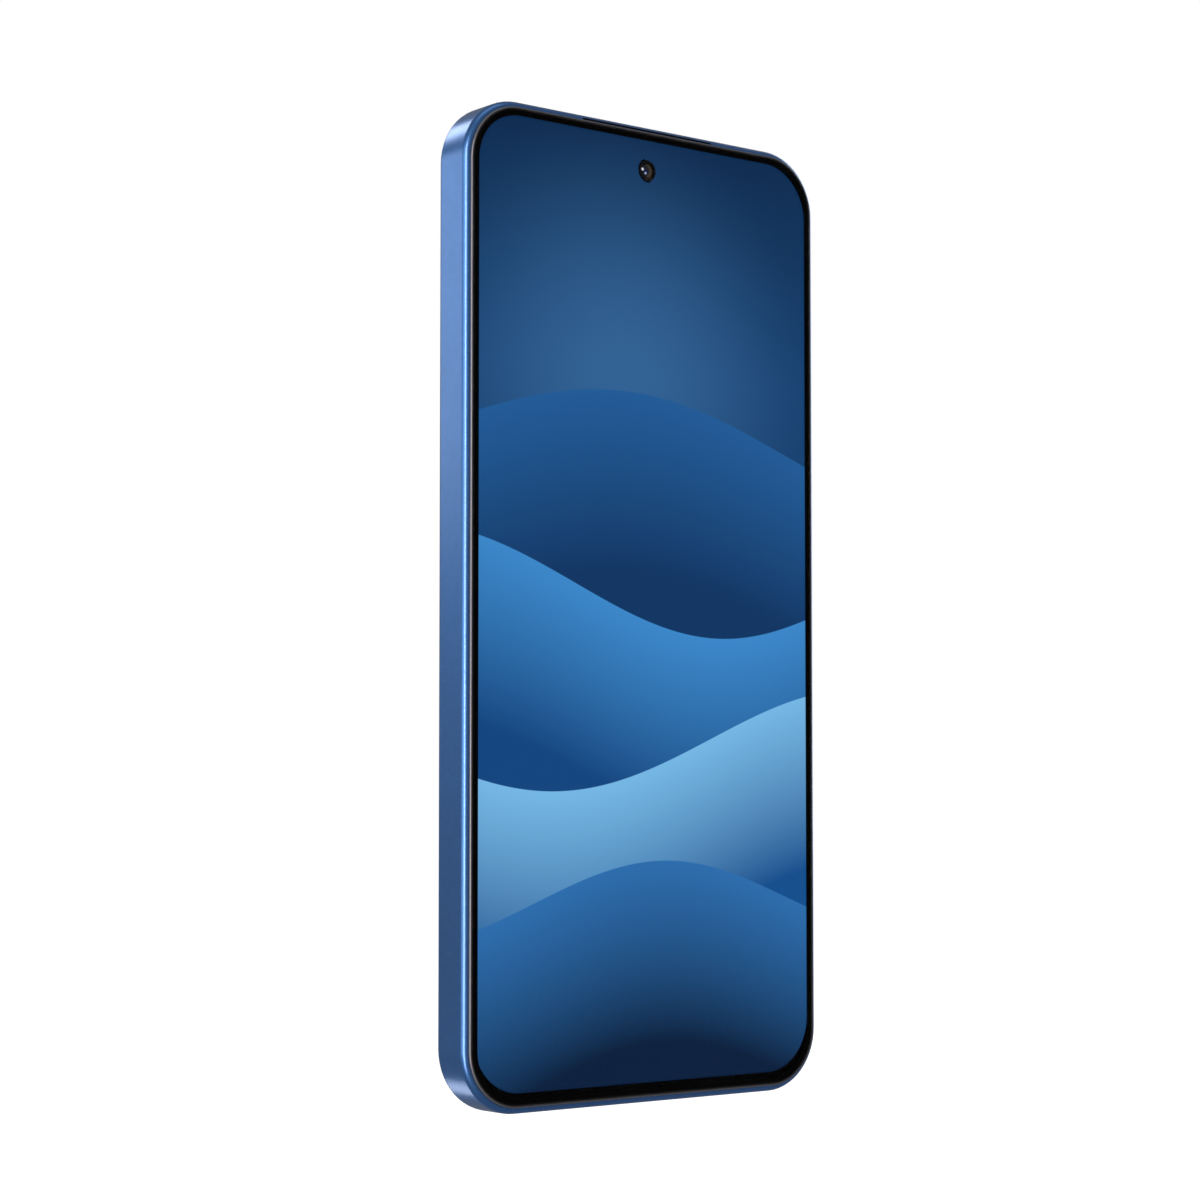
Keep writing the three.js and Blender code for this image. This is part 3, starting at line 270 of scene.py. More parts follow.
def make_rings():
    """Fine turned or moulded rings round a centre, as a height from 0 to 1."""
    tree, sheet, taken, given = new_group(
        "Rings",
        [("Place", "vector"), ("Centre X", "number"), ("Centre Z", "number"), ("Pitch", "number")],
        [("Radius", "number"), ("Height", "number")],
    )
    x, _, z = sheet.split(taken["Place"])
    across = sheet.calc("SUBTRACT", x, taken["Centre X"])
    up = sheet.calc("SUBTRACT", z, taken["Centre Z"])
    radius = length(sheet, across, up)
    saw = sheet.calc("FRACT", sheet.calc("DIVIDE", radius, taken["Pitch"]))
    sheet.feed(given["Radius"], radius)
    sheet.feed(given["Height"], sheet.calc("PINGPONG", saw, 0.5))
    return tree


def make_weave():
    """Woven wire of a dust mesh, as a height."""
    tree, sheet, taken, given = new_group(
        "Wire weave",
        [("Place", "vector"), ("Pitch", "number")],
        [("Height", "number"), ("Hole", "number")],
    )
    x, y, z = sheet.split(taken["Place"])
    along = sheet.calc("ADD", y, z)
    waves = []
    for value in (x, along):
        turn = sheet.calc("MULTIPLY", sheet.calc("DIVIDE", value, taken["Pitch"]), 2 * math.pi)
        waves.append(sheet.calc("SINE", turn))
    product = sheet.calc("MULTIPLY", *waves)
    sheet.feed(given["Height"], sheet.calc("ABSOLUTE", product))
    sheet.feed(given["Hole"], sheet.step(product, 0.45, 0.75))
    return tree


def make_outline():
    """Distance outside an upright rounded rectangle that is centred side to side."""
    labels = ["Half Width", "Bottom", "Height", "Corner"]
    tree, sheet, taken, given = new_group(
        "Rounded outline",
        [("Place", "vector")] + [(label, "number") for label in labels],
        [("Distance", "number")],
    )
    x, _, z = sheet.split(taken["Place"])
    half_height = sheet.calc("MULTIPLY", taken["Height"], 0.5)
    from_middle = sheet.calc("SUBTRACT", sheet.calc("SUBTRACT", z, taken["Bottom"]), half_height)
    past = []
    for value, half in ((x, taken["Half Width"]), (from_middle, half_height)):
        straight = sheet.calc("SUBTRACT", half, taken["Corner"])
        past.append(sheet.calc("SUBTRACT", sheet.calc("ABSOLUTE", value), straight))
    corner = length(sheet, *(sheet.calc("MAXIMUM", side, 0) for side in past))
    flat = sheet.calc("MINIMUM", sheet.calc("MAXIMUM", *past), 0)
    sheet.feed(given["Distance"], sheet.calc("SUBTRACT", sheet.calc("ADD", corner, flat), taken["Corner"]))
    return tree


def length(sheet, *sides):
    """Square root of the summed squares."""
    total = 0.0
    for side in sides:
        total = sheet.calc("MULTIPLY_ADD", side, side, total)
    return sheet.calc("SQRT", total)


GRAIN = make_grain()
HANDLING = make_handling()
BRUSHING = make_brushing()
RINGS = make_rings()
WEAVE = make_weave()
OUTLINE = make_outline()


# ---- screen ----


def inside(sheet, distance):
    """1 where a distance is negative, 0 where it is positive."""
    return sheet.step(distance, -EDGE_SOFTNESS, EDGE_SOFTNESS, 1.0, 0.0)


def stripe(sheet, distance, centre, width):
    """1 on a line along distance = centre, fading over its width."""
    away = sheet.calc("ABSOLUTE", sheet.calc("SUBTRACT", distance, centre))
    return sheet.step(away, 0.3 * width, 0.75 * width, 1.0, 0.0)


def halo(sheet, across, up, centre, radius):
    """Round patch of light that fades away from its centre."""
    sides = [sheet.calc("SUBTRACT", value, middle) for value, middle in zip((across, up), centre)]
    return sheet.step(length(sheet, *sides), 0.0, radius, 1.0, 0.0)


# Each wave: crest height, swing, wavelength, phase, colour at its crest, colour below it.
WAVES = (
    (106, 8.5, 150, 0.3, paint(34, 92, 152), paint(16, 54, 100)),
    (82, 8.0, 122, 2.1, paint(60, 136, 202), paint(19, 70, 128)),
    (57, 9.0, 136, 4.0, paint(118, 184, 230), paint(21, 80, 142)),
    (30, 6.5, 108, 5.6, paint(46, 110, 174), paint(9, 32, 62)),
)
WAVE_DEPTH = 30
GLOW_MIDDLE = (30, 118)
GLOW_REACH = 46


def backdrop(sheet, across, up):
    """Plain blue gradient with one soft patch of light."""
    ground = sheet.ramp(sheet.calc("DIVIDE", up, SCREEN_HEIGHT), [
        (0.0, paint(9, 30, 56)), (0.45, paint(20, 62, 108)),
        (0.75, paint(22, 66, 114)), (1.0, paint(12, 44, 80)),
    ])
    glow = sheet.calc("MULTIPLY", halo(sheet, across, up, GLOW_MIDDLE, GLOW_REACH), 0.35)
    return sheet.mix(glow, ground, paint(78, 138, 196))


def wave(sheet, across, up, colour, crest, swing, wavelength, phase, lit, deep):
    """Soft wave across the display, light along its crest and deeper below."""
    turn = sheet.calc("MULTIPLY_ADD", across, 2 * math.pi / wavelength, phase)
    top = sheet.calc("MULTIPLY_ADD", sheet.calc("SINE", turn), swing, crest)
    above = sheet.calc("SUBTRACT", up, top)
    face = sheet.ramp(sheet.calc("DIVIDE", above, -WAVE_DEPTH), [(0.0, lit), (1.0, deep)])
    return sheet.mix(inside(sheet, above), colour, face)


def lit_area(sheet, place):
    """1 on the lit part of the panel, 0 on its black border."""
    distance = sheet.group(
        OUTLINE, Place=place, Half_Width=SCREEN_WIDTH / 2, Bottom=SCREEN_BOTTOM,
        Height=SCREEN_HEIGHT, Corner=SCREEN_CORNER,
    )[0]
    return inside(sheet, distance)


def screen_material():
    """Lit panel showing plain blue waves, black outside the lit area."""
    material, sheet, shader = new_material(
        "screen", Roughness=0.4, Specular_IOR_Level=0.0, Emission_Strength=1.0,
    )
    place = sheet.place()
    x, _, z = sheet.split(place)
    across = sheet.calc("ADD", x, SCREEN_WIDTH / 2)
    up = sheet.calc("SUBTRACT", z, SCREEN_BOTTOM)
    colour = backdrop(sheet, across, up)
    for settings in WAVES:
        colour = wave(sheet, across, up, colour, *settings)
    sheet.feed(shader["Emission Color"], sheet.scale_colour(colour, lit_area(sheet, place)))
    sheet.feed(shader["Base Color"], sheet.ramp(sheet.noise(place, 0.4), [
        (0.0, (0.0001, 0.0001, 0.0001, 1)), (1.0, (0.0003, 0.0003, 0.0003, 1)),
    ]))
    return material


# ---- finishes ----


def blue_metal():
    """Satin blue metallic paint with a clear coat."""
    material, sheet, shader = new_material(
        "blue_metal", Metallic=0.9, Coat_Weight=0.85, Coat_Roughness=0.2, Coat_IOR=1.5,
    )
    place = sheet.place()
    grain = sheet.group(GRAIN, Place=place, Size=0.16, Tint=(0.06, 0.215, 0.56, 1), Amount=0.42)
    sheet.feed(shader["Base Color"], grain["Color"])
    sheet.feed(shader["Roughness"], sheet.group(HANDLING, Place=place, Clean=0.33, Marked=0.37)[0])
    sheet.feed(shader["Normal"], sheet.bump(grain["Height"], 0.004))
    return material


def blue_back():
    """Rear cover: satin blue, a touch deeper, with fine metallic speckle under its lacquer."""
    material, sheet, shader = new_material(
        "blue_back", Metallic=0.75, Coat_Weight=0.6, Coat_Roughness=0.28, Coat_IOR=1.5,
    )
    place = sheet.place()
    _, _, z = sheet.split(place)
    tint = sheet.mix(sheet.step(z, 10, 150), (0.045, 0.13, 0.38, 1), (0.07, 0.19, 0.5, 1))
    grain = sheet.group(GRAIN, Place=place, Size=0.12, Tint=tint, Amount=0.5)
    sheet.feed(shader["Base Color"], grain["Color"])
    sheet.feed(shader["Roughness"], sheet.group(HANDLING, Place=place, Clean=0.38, Marked=0.45)[0])
    sheet.feed(shader["Normal"], sheet.bump(grain["Height"], 0.003))
    return material


def ring_metal():
    """Turned blue metal of the lens rings."""
    material, sheet, shader = new_material("ring_metal", Metallic=1.0, Coat_Weight=0.4, Coat_Roughness=0.1)
    place = sheet.place()
    grain = sheet.group(GRAIN, Place=place, Size=0.1, Tint=(0.11, 0.24, 0.52, 1), Amount=0.3)
    sheet.feed(shader["Base Color"], grain["Color"])
    sheet.feed(shader["Roughness"], sheet.group(HANDLING, Place=place, Clean=0.2, Marked=0.26)[0])
    sheet.feed(shader["Normal"], sheet.bump(grain["Height"], 0.002))
    return material


def clear_glass(name, index, tint, clean, marked):
    """Polished glass with faint wiping marks in its gloss."""
    material, sheet, shader = new_material(name, IOR=index, Transmission_Weight=1.0)
    place = sheet.place()
    fleck = sheet.noise(place, 20.0, 2.0)
    sheet.feed(shader["Base Color"], sheet.mix(fleck, tint, (1, 1, 1, 1)))
    sheet.feed(shader["Roughness"], sheet.group(HANDLING, Place=place, Clean=clean, Marked=marked)[0])
    return material


def coated_lens(name, middle, edge):
    """Lens element whose coating turns from one hue in the middle to another at the edge."""
    material, sheet, shader = new_material(
        name, IOR=1.7, Coat_Weight=1.0, Coat_Roughness=0.02, Metallic=0.4,
    )
    place = sheet.place()
    facing = sheet.node("ShaderNodeLayerWeight")
    facing.inputs["Blend"].default_value = 0.45
    hue = sheet.mix(facing.outputs["Facing"], middle, edge)
    uneven = sheet.line(sheet.noise(place, 0.8), 0.2, 0.8, 0.8, 1.2)
    sheet.feed(shader["Base Color"], sheet.scale_colour(hue, uneven))
    sheet.feed(shader["Roughness"], sheet.line(sheet.noise(place, 0.5), 0.2, 0.8, 0.04, 0.1))
    return material


def front_lens():
    """Small dark lens, its look painted into its emission: a painted olive reflection on its right and two
    soft painted glints on its left, so the lens glows though it is no lamp.
    """
    material, sheet, shader = new_material(
        "front_lens", Specular_IOR_Level=0.2, Coat_Weight=0.6, Coat_Roughness=0.03, Emission_Strength=1.0,
    )
    centre = middle_of("front_camera_lens")
    place = sheet.place()
    x, _, z = sheet.split(place)
    across = sheet.calc("SUBTRACT", x, centre.x / MM)
    up = sheet.calc("SUBTRACT", z, centre.z / MM)
    radius = length(sheet, across, up)
    # painted reflection: an olive crescent round the right of the lens
    painted_olive_reflection = sheet.calc("MULTIPLY", stripe(sheet, radius, 0.95, 0.9), sheet.step(across, -0.4, 0.5))
    glow = sheet.mix(painted_olive_reflection, paint(5, 7, 18), paint(54, 43, 32))
    glow = sheet.mix(sheet.step(radius, 1.15, 1.35), glow, paint(2, 2, 3))
    # painted reflection: a deep blue patch just left of the lens middle
    glow = sheet.mix(halo(sheet, across, up, (-0.25, -0.1), 0.75), glow, paint(10, 16, 62))
    # two painted glints on the left of the lens, white and pale blue
    for middle, size, tint in (((-0.88, 0.2), 0.36, (236, 242, 255)), ((-0.3, -0.42), 0.3, (190, 204, 250))):
        glow = sheet.mix(halo(sheet, across, up, middle, size), glow, paint(*tint))
    # painted light: the whole lens colour is emitted, and a tenth of it is also the base colour
    sheet.feed(shader["Emission Color"], glow)
    sheet.feed(shader["Base Color"], sheet.scale_colour(glow, 0.1))
    sheet.feed(shader["Roughness"], sheet.line(sheet.noise(place, 0.5), 0.2, 0.8, 0.04, 0.1))
    return material


def moulded(name, tint, size, roughness, bump=0.012):
    """Moulded plastic or rubber with a fine texture."""
    material, sheet, shader = new_material(name, Specular_IOR_Level=0.35)
    place = sheet.place()
    grain = sheet.group(GRAIN, Place=place, Size=size, Tint=tint, Amount=0.5)
    sheet.feed(shader["Base Color"], grain["Color"])
    handled = sheet.group(HANDLING, Place=place, Clean=roughness, Marked=roughness + 0.08)[0]
    sheet.feed(shader["Roughness"], handled)
    sheet.feed(shader["Normal"], sheet.bump(grain["Height"], bump))
    return material


def drawn_metal(name, tint):
    """Brushed or drawn sheet metal."""
    material, sheet, shader = new_material(name, Metallic=1.0)
    brushed = sheet.group(BRUSHING, Place=sheet.place(), Tint=tint)
    sheet.feed(shader["Base Color"], brushed["Color"])
    sheet.feed(shader["Roughness"], brushed["Roughness"])
    sheet.feed(shader["Normal"], sheet.bump(brushed["Height"], 0.006))
    return material


def blasted_alloy():
    """Cast light alloy, bead blasted."""
    material, sheet, shader = new_material("blasted_alloy", Metallic=1.0)
    place = sheet.place()
    grain = sheet.group(GRAIN, Place=place, Size=0.2, Tint=(0.3, 0.31, 0.34, 1), Amount=0.5)
    sheet.feed(shader["Base Color"], grain["Color"])
    sheet.feed(shader["Roughness"], sheet.group(HANDLING, Place=place, Clean=0.5, Marked=0.6)[0])
    sheet.feed(shader["Normal"], sheet.bump(grain["Height"], 0.02))
    return material


def tracked_film(name, ground, track, pitch, metallic):
    """Circuit board or film with fine parallel tracks under its skin."""
    material, sheet, shader = new_material(name, Metallic=metallic, Coat_Weight=0.3, Coat_Roughness=0.3)
    place = sheet.place()
    x = sheet.split(place)[0]
    bend = sheet.calc("MULTIPLY", sheet.step(sheet.noise(place, 9.0, 0.0), 0.46, 0.54), pitch * 5)
    lane = sheet.calc("FRACT", sheet.calc("DIVIDE", sheet.calc("ADD", x, bend), pitch))
    lines = sheet.step(sheet.calc("ABSOLUTE", sheet.calc("SUBTRACT", lane, 0.5)), 0.16, 0.26, 1.0, 0.0)
    patch = sheet.step(sheet.noise(place, 6.0, 1.0), 0.47, 0.53)
    shown = sheet.calc("MULTIPLY", lines, patch)
    grain = sheet.group(GRAIN, Place=place, Size=0.3, Tint=sheet.mix(shown, ground, track), Amount=0.25)
    sheet.feed(shader["Base Color"], grain["Color"])
    sheet.feed(shader["Roughness"], sheet.line(shown, 0.0, 1.0, 0.5, 0.34))
    sheet.feed(shader["Normal"], sheet.bump(shown, 0.02))
    return material


def battery_film():
    """Charcoal film of the cell, faintly wrinkled."""
    material, sheet, shader = new_material("battery_film", Specular_IOR_Level=0.4)
    place = sheet.place()
    wrinkle = sheet.noise(place, 3.5, 5.0)
    sheet.feed(shader["Base Color"], sheet.ramp(wrinkle, [
        (0.3, (0.010, 0.010, 0.011, 1)), (0.7, (0.018, 0.018, 0.020, 1)),
    ]))
    sheet.feed(shader["Roughness"], sheet.line(wrinkle, 0.3, 0.7, 0.42, 0.55))
    sheet.feed(shader["Normal"], sheet.bump(wrinkle, 0.05))
    return material


def dust_mesh():
    """Woven dust mesh, dark between its wires."""
    material, sheet, shader = new_material("dust_mesh", Metallic=0.8)
    weave = sheet.group(WEAVE, Place=sheet.place(), Pitch=0.24)
    colour = sheet.mix(weave["Hole"], (0.012, 0.012, 0.013, 1), (0.09, 0.09, 0.095, 1))
    sheet.feed(shader["Base Color"], colour)
    sheet.feed(shader["Roughness"], sheet.line(weave["Height"], 0.0, 1.0, 0.6, 0.38))
    sheet.feed(shader["Normal"], sheet.bump(weave["Height"], 0.03))
    return material


def flash_plastic():
    """Clear yellowish diffuser with moulded rings."""
    material, sheet, shader = new_material(
        "flash_plastic", IOR=1.49, Transmission_Weight=0.55, Coat_Weight=0.5,
    )
    centre = middle_of("flash_lens")
    place = sheet.place()
    rings = sheet.group(RINGS, Place=place, Centre_X=centre.x / MM, Centre_Z=centre.z / MM, Pitch=0.34)
    warm = sheet.step(rings["Radius"], 0.4, 1.9)
    sheet.feed(shader["Base Color"], sheet.mix(warm, (0.95, 0.74, 0.26, 1), (0.93, 0.9, 0.82, 1)))
    sheet.feed(shader["Roughness"], sheet.line(rings["Height"], 0.0, 0.5, 0.12, 0.3))
    sheet.feed(shader["Normal"], sheet.bump(rings["Height"], 0.12))
    return material


def phosphor():
    """Yellow phosphor of the flash lamp."""
    material, sheet, shader = new_material("phosphor")
    grain = sheet.group(GRAIN, Place=sheet.place(), Size=0.15, Tint=(0.86, 0.62, 0.07, 1), Amount=0.4)
    sheet.feed(shader["Base Color"], grain["Color"])
    sheet.feed(shader["Roughness"], sheet.line(grain["Height"], 0.3, 1.0, 0.7, 0.85))
    return material


# ---- geometry ----


def middle_of(node):
    low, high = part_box(node)
    return (Vector(low) + Vector(high)) / 2


def smooth_node(thing):
    """Rounds off the look of a faceted solid: shared corners, sharp edges kept, flats leading the normals."""
    thing.data.polygons.foreach_set("use_smooth", [True] * len(thing.data.polygons))
    weld = thing.modifiers.new("weld", "WELD")
    weld.merge_threshold = 0.002 * MM
    crease = thing.modifiers.new("crease", "EDGE_SPLIT")
    crease.split_angle = SHARP_ANGLE
    crease.use_edge_sharp = False
    normals = thing.modifiers.new("normals", "WEIGHTED_NORMAL")
    normals.mode = "FACE_AREA_WITH_ANGLE"
    normals.keep_sharp = False
    normals.weight = 50


def dress(node, material):
    """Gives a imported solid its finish."""
    thing = NODES[node]
    thing.data.materials.clear()
    thing.data.materials.append(material)
    if node != "front_glass":
        smooth_node(thing)


def turned(name, centre, profile, material, steps=TURN_STEPS):
    """A closed ring or dome turned round the front-to-back axis. Profile points are radius and depth in
    millimetres, from the axis or inner edge outwards, round and back."""
    mesh = bmesh.new()
    rows = []
    for radius, depth in profile:
        y = depth * MM
        if radius == 0:
            rows.append([mesh.verts.new((centre.x, y, centre.z))])
            continue
        angles = [2 * math.pi * step / steps for step in range(steps)]
        rows.append([
            mesh.verts.new((centre.x + radius * MM * math.cos(a), y, centre.z + radius * MM * math.sin(a)))
            for a in angles
        ])
    for first, second in zip(rows, rows[1:] + rows[:1]):
        join_rows(mesh, first, second)
    bmesh.ops.recalc_face_normals(mesh, faces=mesh.faces)
    data = bpy.data.meshes.new(name)
    mesh.to_mesh(data)
    mesh.free()
    data.polygons.foreach_set("use_smooth", [True] * len(data.polygons))
    data.materials.append(material)
    thing = bpy.data.objects.new(name, data)
    bpy.context.scene.collection.objects.link(thing)
    crease = thing.modifiers.new("crease", "EDGE_SPLIT")
    crease.split_angle = SHARP_ANGLE
    return thing


def join_rows(mesh, first, second):
    """Faces between two rings of corners, either of which may be one point on the axis."""
    count = max(len(first), len(second))
    if count == 1:
        return
    for step in range(count):
        after = (step + 1) % count
        if len(first) == 1:
            mesh.faces.new((first[0], second[step], second[after]))
        elif len(second) == 1:
            mesh.faces.new((first[step], second[0], first[after]))
        else:
            mesh.faces.new((first[step], second[step], second[after], first[after]))


def dome(name, node, facing, curve, material):
    """A lens element with a domed face, in the place of a packed lens disc. facing is -1 at the screen."""
    low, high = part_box(node)
    centre = middle_of(node)
    radius = (high[0] - low[0]) / 2 / MM
    front = (low[1] if facing < 0 else high[1]) / MM
    back = (high[1] if facing < 0 else low[1]) / MM
    steps = 10
    profile = []
    for step in range(steps + 1):
        share = step / steps
        sag = curve * (1 - math.sqrt(1 - (0.98 * share) ** 2))
        profile.append((radius * share, front - facing * sag))
    profile += [(radius, back), (0, back)]
    lens = turned(name, centre, profile, material)
    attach(lens, "phone")
    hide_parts(node)
    return lens


def outline_loop(low, high, inset, corner, steps=12):
    """Points round an upright rounded rectangle, inset from a box, as x and z in millimetres."""
    left, right = low[0] / MM + inset, high[0] / MM - inset
    bottom, top = low[2] / MM + inset, high[2] / MM - inset
    radius = corner - inset
    centres = ((right, top, 0), (left, top, 90), (left, bottom, 180), (right, bottom, 270))
    points = []
    for x, z, start in centres:
        cx = x - math.copysign(radius, x)
        cz = z - radius if z == top else z + radius
        for step in range(steps + 1):
            angle = math.radians(start + 90 * step / steps)
            points.append((cx + radius * math.cos(angle), cz + radius * math.sin(angle)))
    return points


def border_print(material):
    """Printed border on the glass, curving down to its ground edge."""
    low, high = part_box("front_glass")
    front = low[1] / MM
    middle, radius = 0.26, 0.27
    steps = 8
    section = []
    for step in range(steps + 1):
        turn = math.pi / 2 * step / steps
        section.append((middle - radius * math.cos(turn), middle - radius * math.sin(turn)))
    section += [(0.34, 0.03), (1.5, 0.03), (1.5, 0.06), (middle, 0.08), (0.1, 0.5), (middle - radius, 0.5)]
    mesh = bmesh.new()
    rows = []
    for inset, depth in section:
        loop = outline_loop(low, high, inset, GLASS_CORNER)
        rows.append([mesh.verts.new((x * MM, (front + depth) * MM, z * MM)) for x, z in loop])
    for first, second in zip(rows, rows[1:] + rows[:1]):
        join_rows(mesh, first, second)
    bmesh.ops.recalc_face_normals(mesh, faces=mesh.faces)
    data = bpy.data.meshes.new("glass_border")
    mesh.to_mesh(data)
    mesh.free()
    data.polygons.foreach_set("use_smooth", [True] * len(data.polygons))
    data.materials.append(material)
    border = bpy.data.objects.new("glass_border", data)
    bpy.context.scene.collection.objects.link(border)
    crease = border.modifiers.new("crease", "EDGE_SPLIT")
    crease.split_angle = SHARP_ANGLE
    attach(border, "phone")


def border_ink():
    """Grey ground edge of the glass that turns to black ink within a millimetre."""
    material, sheet, shader = new_material("border_ink", Metallic=0.85, Specular_IOR_Level=0.1)
    low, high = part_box("front_glass")
    place = sheet.place()
    distance = sheet.group(
        OUTLINE, Place=place, Half_Width=high[0] / MM, Bottom=low[2] / MM,
        Height=(high[2] - low[2]) / MM, Corner=GLASS_CORNER,
    )[0]
    depth = sheet.calc("MULTIPLY", distance, -1.0)
    grain = sheet.group(GRAIN, Place=place, Size=0.1, Tint=sheet.ramp(depth, [
        (0.0, (0.16, 0.19, 0.23, 1)), (0.14, (0.24, 0.27, 0.3, 1)), (0.34, (0.09, 0.09, 0.09, 1)),
        (0.55, (0.018, 0.015, 0.012, 1)), (0.8, (0.002, 0.002, 0.002, 1)),
    ]), Amount=0.15)
    sheet.feed(shader["Base Color"], grain["Color"])
    sheet.feed(shader["Roughness"], sheet.group(HANDLING, Place=place, Clean=0.42, Marked=0.46)[0])
    return material


def port_contacts(material):
    """Two rows of thin gold contacts on the port's tongue."""
    low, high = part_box("usb_tongue")
    count = 12
    pitch = 0.5 * MM
    width = 0.25 * MM
    thickness = 0.02 * MM
    bottom = low[2] + 0.25 * MM
    top = low[2] + 3.6 * MM
    mesh = bmesh.new()
    for surface, outward in ((low[1], -1), (high[1], 1)):
        for index in range(count):
            x = (low[0] + high[0]) / 2 + (index - (count - 1) / 2) * pitch
            raised = surface + outward * thickness
            left, right = x - width / 2, x + width / 2
            ends = [(left, bottom), (right, bottom), (right, top), (left, top)]
            foot = [mesh.verts.new((px, surface, pz)) for px, pz in ends]
            inset = 0.04 * MM
            crown = [
                mesh.verts.new((
                    px + (inset if px < x else -inset), raised, pz + (inset if pz < top else -inset),
                ))
                for px, pz in ends
            ]
            mesh.faces.new(crown)
            mesh.faces.new(foot)
            for first in range(4):
                second = (first + 1) % 4
                mesh.faces.new((foot[first], foot[second], crown[second], crown[first]))
    bmesh.ops.recalc_face_normals(mesh, faces=mesh.faces)
    data = bpy.data.meshes.new("usb_contacts")
    mesh.to_mesh(data)
    mesh.free()
    data.materials.append(material)
    contacts = bpy.data.objects.new("usb_contacts", data)
    bpy.context.scene.collection.objects.link(contacts)
    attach(contacts, "phone")


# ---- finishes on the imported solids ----

black = moulded("black_plastic", (0.012, 0.012, 0.013, 1), 0.12, 0.5)
deep_black = moulded("deep_black", (0.0012, 0.0012, 0.0013, 1), 0.1, 0.62)
rubber = moulded("seal_rubber", (0.02, 0.02, 0.022, 1), 0.2, 0.7)
tape = moulded("black_tape", (0.014, 0.014, 0.014, 1), 0.3, 0.75)
steel = drawn_metal("steel", (0.5, 0.51, 0.53, 1))
alloy = blasted_alloy()
board = tracked_film("circuit_board", (0.012, 0.075, 0.05, 1), (0.04, 0.15, 0.09, 1), 0.5, 0.0)
film = tracked_film("amber_film", (0.34, 0.15, 0.02, 1), (0.55, 0.3, 0.08, 1), 0.35, 0.2)
copper = tracked_film("copper_film", (0.05, 0.05, 0.055, 1), (0.75, 0.36, 0.2, 1), 0.8, 0.5)
gold = drawn_metal("contact_gold", (0.8, 0.56, 0.2, 1))
body_blue = blue_metal()
back_blue = blue_back()
rings_blue = ring_metal()
front_glass = clear_glass("front_glass", 1.15, (0.985, 0.99, 1, 1), 0.0, 0.02)
window_glass = clear_glass("window_glass", 1.3, (0.93, 0.95, 1, 1), 0.0, 0.02)
dust_guard = dust_mesh()
flash_lamp = phosphor()
rear_lens_coat = coated_lens("rear_lens_coat", (0.02, 0.012, 0.05, 1), (0.02, 0.09, 0.07, 1))

FINISHES = {
    "side_frame": body_blue,
    "power_button": body_blue,
    "volume_rocker": body_blue,
    "sim_tray": body_blue,
    "main_lens_ring": rings_blue,
    "wide_lens_ring": rings_blue,
    "rear_cover": back_blue,
    "camera_deck": back_blue,
    "front_glass": front_glass,
    "main_lens_window": window_glass,
    "wide_lens_window": window_glass,
    "display_panel": screen_material(),
    "display_backing": copper,
    "earpiece_mesh": dust_guard,
    "speaker_mesh": dust_guard,
    "flash_lens": flash_plastic(),
    "flash_led": flash_lamp,
    "battery": battery_film(),
    "rear_cover_tape": tape,
    "front_camera_module": deep_black,
    "main_camera_module": deep_black,
    "wide_camera_module": deep_black,
    "usb_tongue": black,
}
SLOT_FINISHES = {
    "black_plastic": black,
    "steel": steel,
    "alloy": alloy,
    "circuit_board": board,
    "flex_circuit": film,
    "copper": copper,
    "cell_wrap": black,
    "rubber": rubber,
    "frame_finish": body_blue,
    "rear_finish": back_blue,
    "cover_glass": front_glass,
    "lens_glass": window_glass,
    "display": black,
    "flash_diffuser": flash_lamp,
}
for node, thing in NODES.items():
    slot = thing.data.materials[0].name.split(".")[0]
    dress(node, FINISHES.get(node, SLOT_FINISHES[slot]))

# the front lens element carries painted reflections and glints in its emission
dome("front_lens_element", "front_camera_lens", -1, 0.3, front_lens())
dome("main_lens_element", "main_camera_lens", 1, 0.4, rear_lens_coat)
dome("wide_lens_element", "wide_camera_lens", 1, 0.35, rear_lens_coat)
port_contacts(gold)
border_print(border_ink())


# ---- studio ----


def area_light(name, place, size, radiance, tint=(1, 1, 1)):
    """A soft panel aimed at the phone's middle. Radiance 1 looks white in a mirror."""
    lamp = bpy.data.lights.new(name, "AREA")
    lamp.shape = "RECTANGLE"
    lamp.size, lamp.size_y = size
    lamp.energy = radiance * math.pi * size[0] * size[1]
    lamp.color = tint
    light = bpy.data.objects.new(name, lamp)
    light.location = place
    light.rotation_euler = (TARGET - Vector(place)).to_track_quat("-Z", "Y").to_euler()
    light.visible_camera = False
    bpy.context.scene.collection.objects.link(light)


FLOOR_DROP = 0.03  # room below the phone for its card tray, which slides out 24 mm
FLOOR_REACH = 6.0  # from its middle to each edge


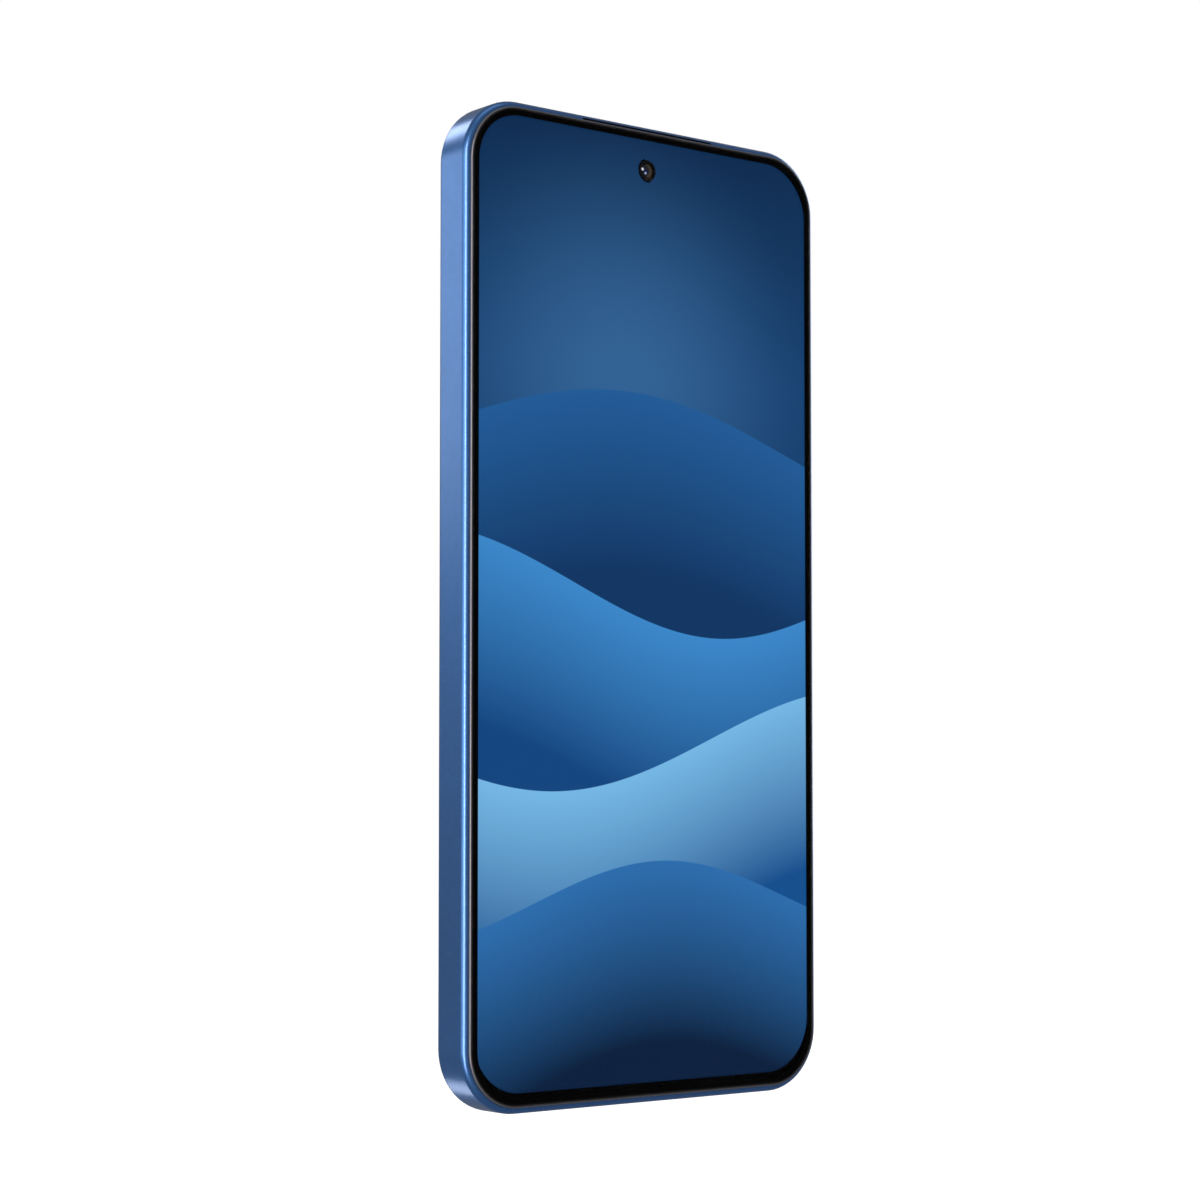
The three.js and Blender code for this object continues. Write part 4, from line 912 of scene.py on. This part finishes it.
def studio_floor():
    """Wide pale floor: white where it is looked at, greyer in the light it gives back."""
    mesh = bmesh.new()
    corners = [
        mesh.verts.new((x * FLOOR_REACH, y * FLOOR_REACH, -FLOOR_DROP))
        for x, y in ((-1, -1), (1, -1), (1, 1), (-1, 1))
    ]
    mesh.faces.new(corners)
    data = bpy.data.meshes.new("studio_floor")
    mesh.to_mesh(data)
    mesh.free()
    material = bpy.data.materials.new("pale_floor")
    material.use_nodes = True
    material.node_tree.nodes.clear()
    sheet = Sheet(material.node_tree)
    seen = sheet.node("ShaderNodeLightPath").outputs["Is Camera Ray"]
    diffuse = sheet.node("ShaderNodeBsdfDiffuse")
    sheet.feed(diffuse.inputs["Color"], sheet.mix(seen, (0.4, 0.42, 0.45, 1), (0.5, 0.5, 0.5, 1)))
    glow = sheet.node("ShaderNodeEmission")
    glow.inputs["Color"].default_value = (1, 1, 1, 1)
    sheet.feed(glow.inputs["Strength"], sheet.calc("MULTIPLY", seen, 0.93))
    both = sheet.node("ShaderNodeAddShader")
    sheet.feed(both.inputs[0], diffuse.outputs[0])
    sheet.feed(both.inputs[1], glow.outputs[0])
    output = sheet.node("ShaderNodeOutputMaterial")
    sheet.feed(output.inputs["Surface"], both.outputs[0])
    data.materials.append(material)
    floor = bpy.data.objects.new("studio_floor", data)
    bpy.context.scene.collection.objects.link(floor)
    floor.visible_glossy = False
    floor.visible_shadow = False


def studio_world():
    """White surround for the eye, dim grey for reflections and fill."""
    world = bpy.data.worlds.new("studio")
    bpy.context.scene.world = world
    world.use_nodes = True
    world.node_tree.nodes.clear()
    sheet = Sheet(world.node_tree)
    seen = sheet.node("ShaderNodeLightPath").outputs["Is Camera Ray"]
    surround = sheet.node("ShaderNodeBackground")
    sheet.feed(surround.inputs["Color"], sheet.mix(seen, (0.17, 0.18, 0.2, 1), (1, 1, 1, 1)))
    output = sheet.node("ShaderNodeOutputWorld")
    sheet.feed(output.inputs["Surface"], surround.outputs[0])


def studio_camera():
    """Long lens at the left of the screen, low and tilted slightly up."""
    data = bpy.data.cameras.new("camera")
    data.lens = CAMERA_LENS
    data.sensor_width = 36
    data.shift_y = CAMERA_SHIFT
    data.clip_start = 0.01
    data.clip_end = 30
    camera = bpy.data.objects.new("camera", data)
    screen_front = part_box("front_glass")[0][1]
    x, y, z = CAMERA_PLACE
    camera.location = (x * MM, y * MM + screen_front, z * MM)
    camera.rotation_euler = (math.pi / 2 + CAMERA_TILT, 0, -CAMERA_HEADING)
    bpy.context.scene.collection.objects.link(camera)
    bpy.context.scene.camera = camera


TARGET = (CAD_BOX[0] + CAD_BOX[1]) / 2
studio_floor()
studio_world()
studio_camera()
area_light("rear_left_panel", (-0.80, 0.93, 0.41), (1.0, 0.38), 1.15)
area_light("left_panel", (-1.12, -0.18, 0.25), (0.95, 1.0), 1.1)
area_light("left_strip", (-0.89, -0.64, 0.10), (0.27, 1.4), 10.5, (1.0, 0.75, 0.68))
area_light("rear_top_panel", (-0.18, 1.01, 0.88), (0.36, 0.27), 3.4)
area_light("rear_low_panel", (-0.16, 0.98, -0.70), (0.34, 0.2), 2.4)
area_light("right_panel", (1.05, 0.35, 0.45), (0.6, 0.9), 1.6)
area_light("overhead_panel", (0.0, -0.35, 1.3), (0.8, 0.5), 0.8)

bpy.context.scene.view_settings.view_transform = "Standard"
bpy.context.scene.view_settings.look = "None"
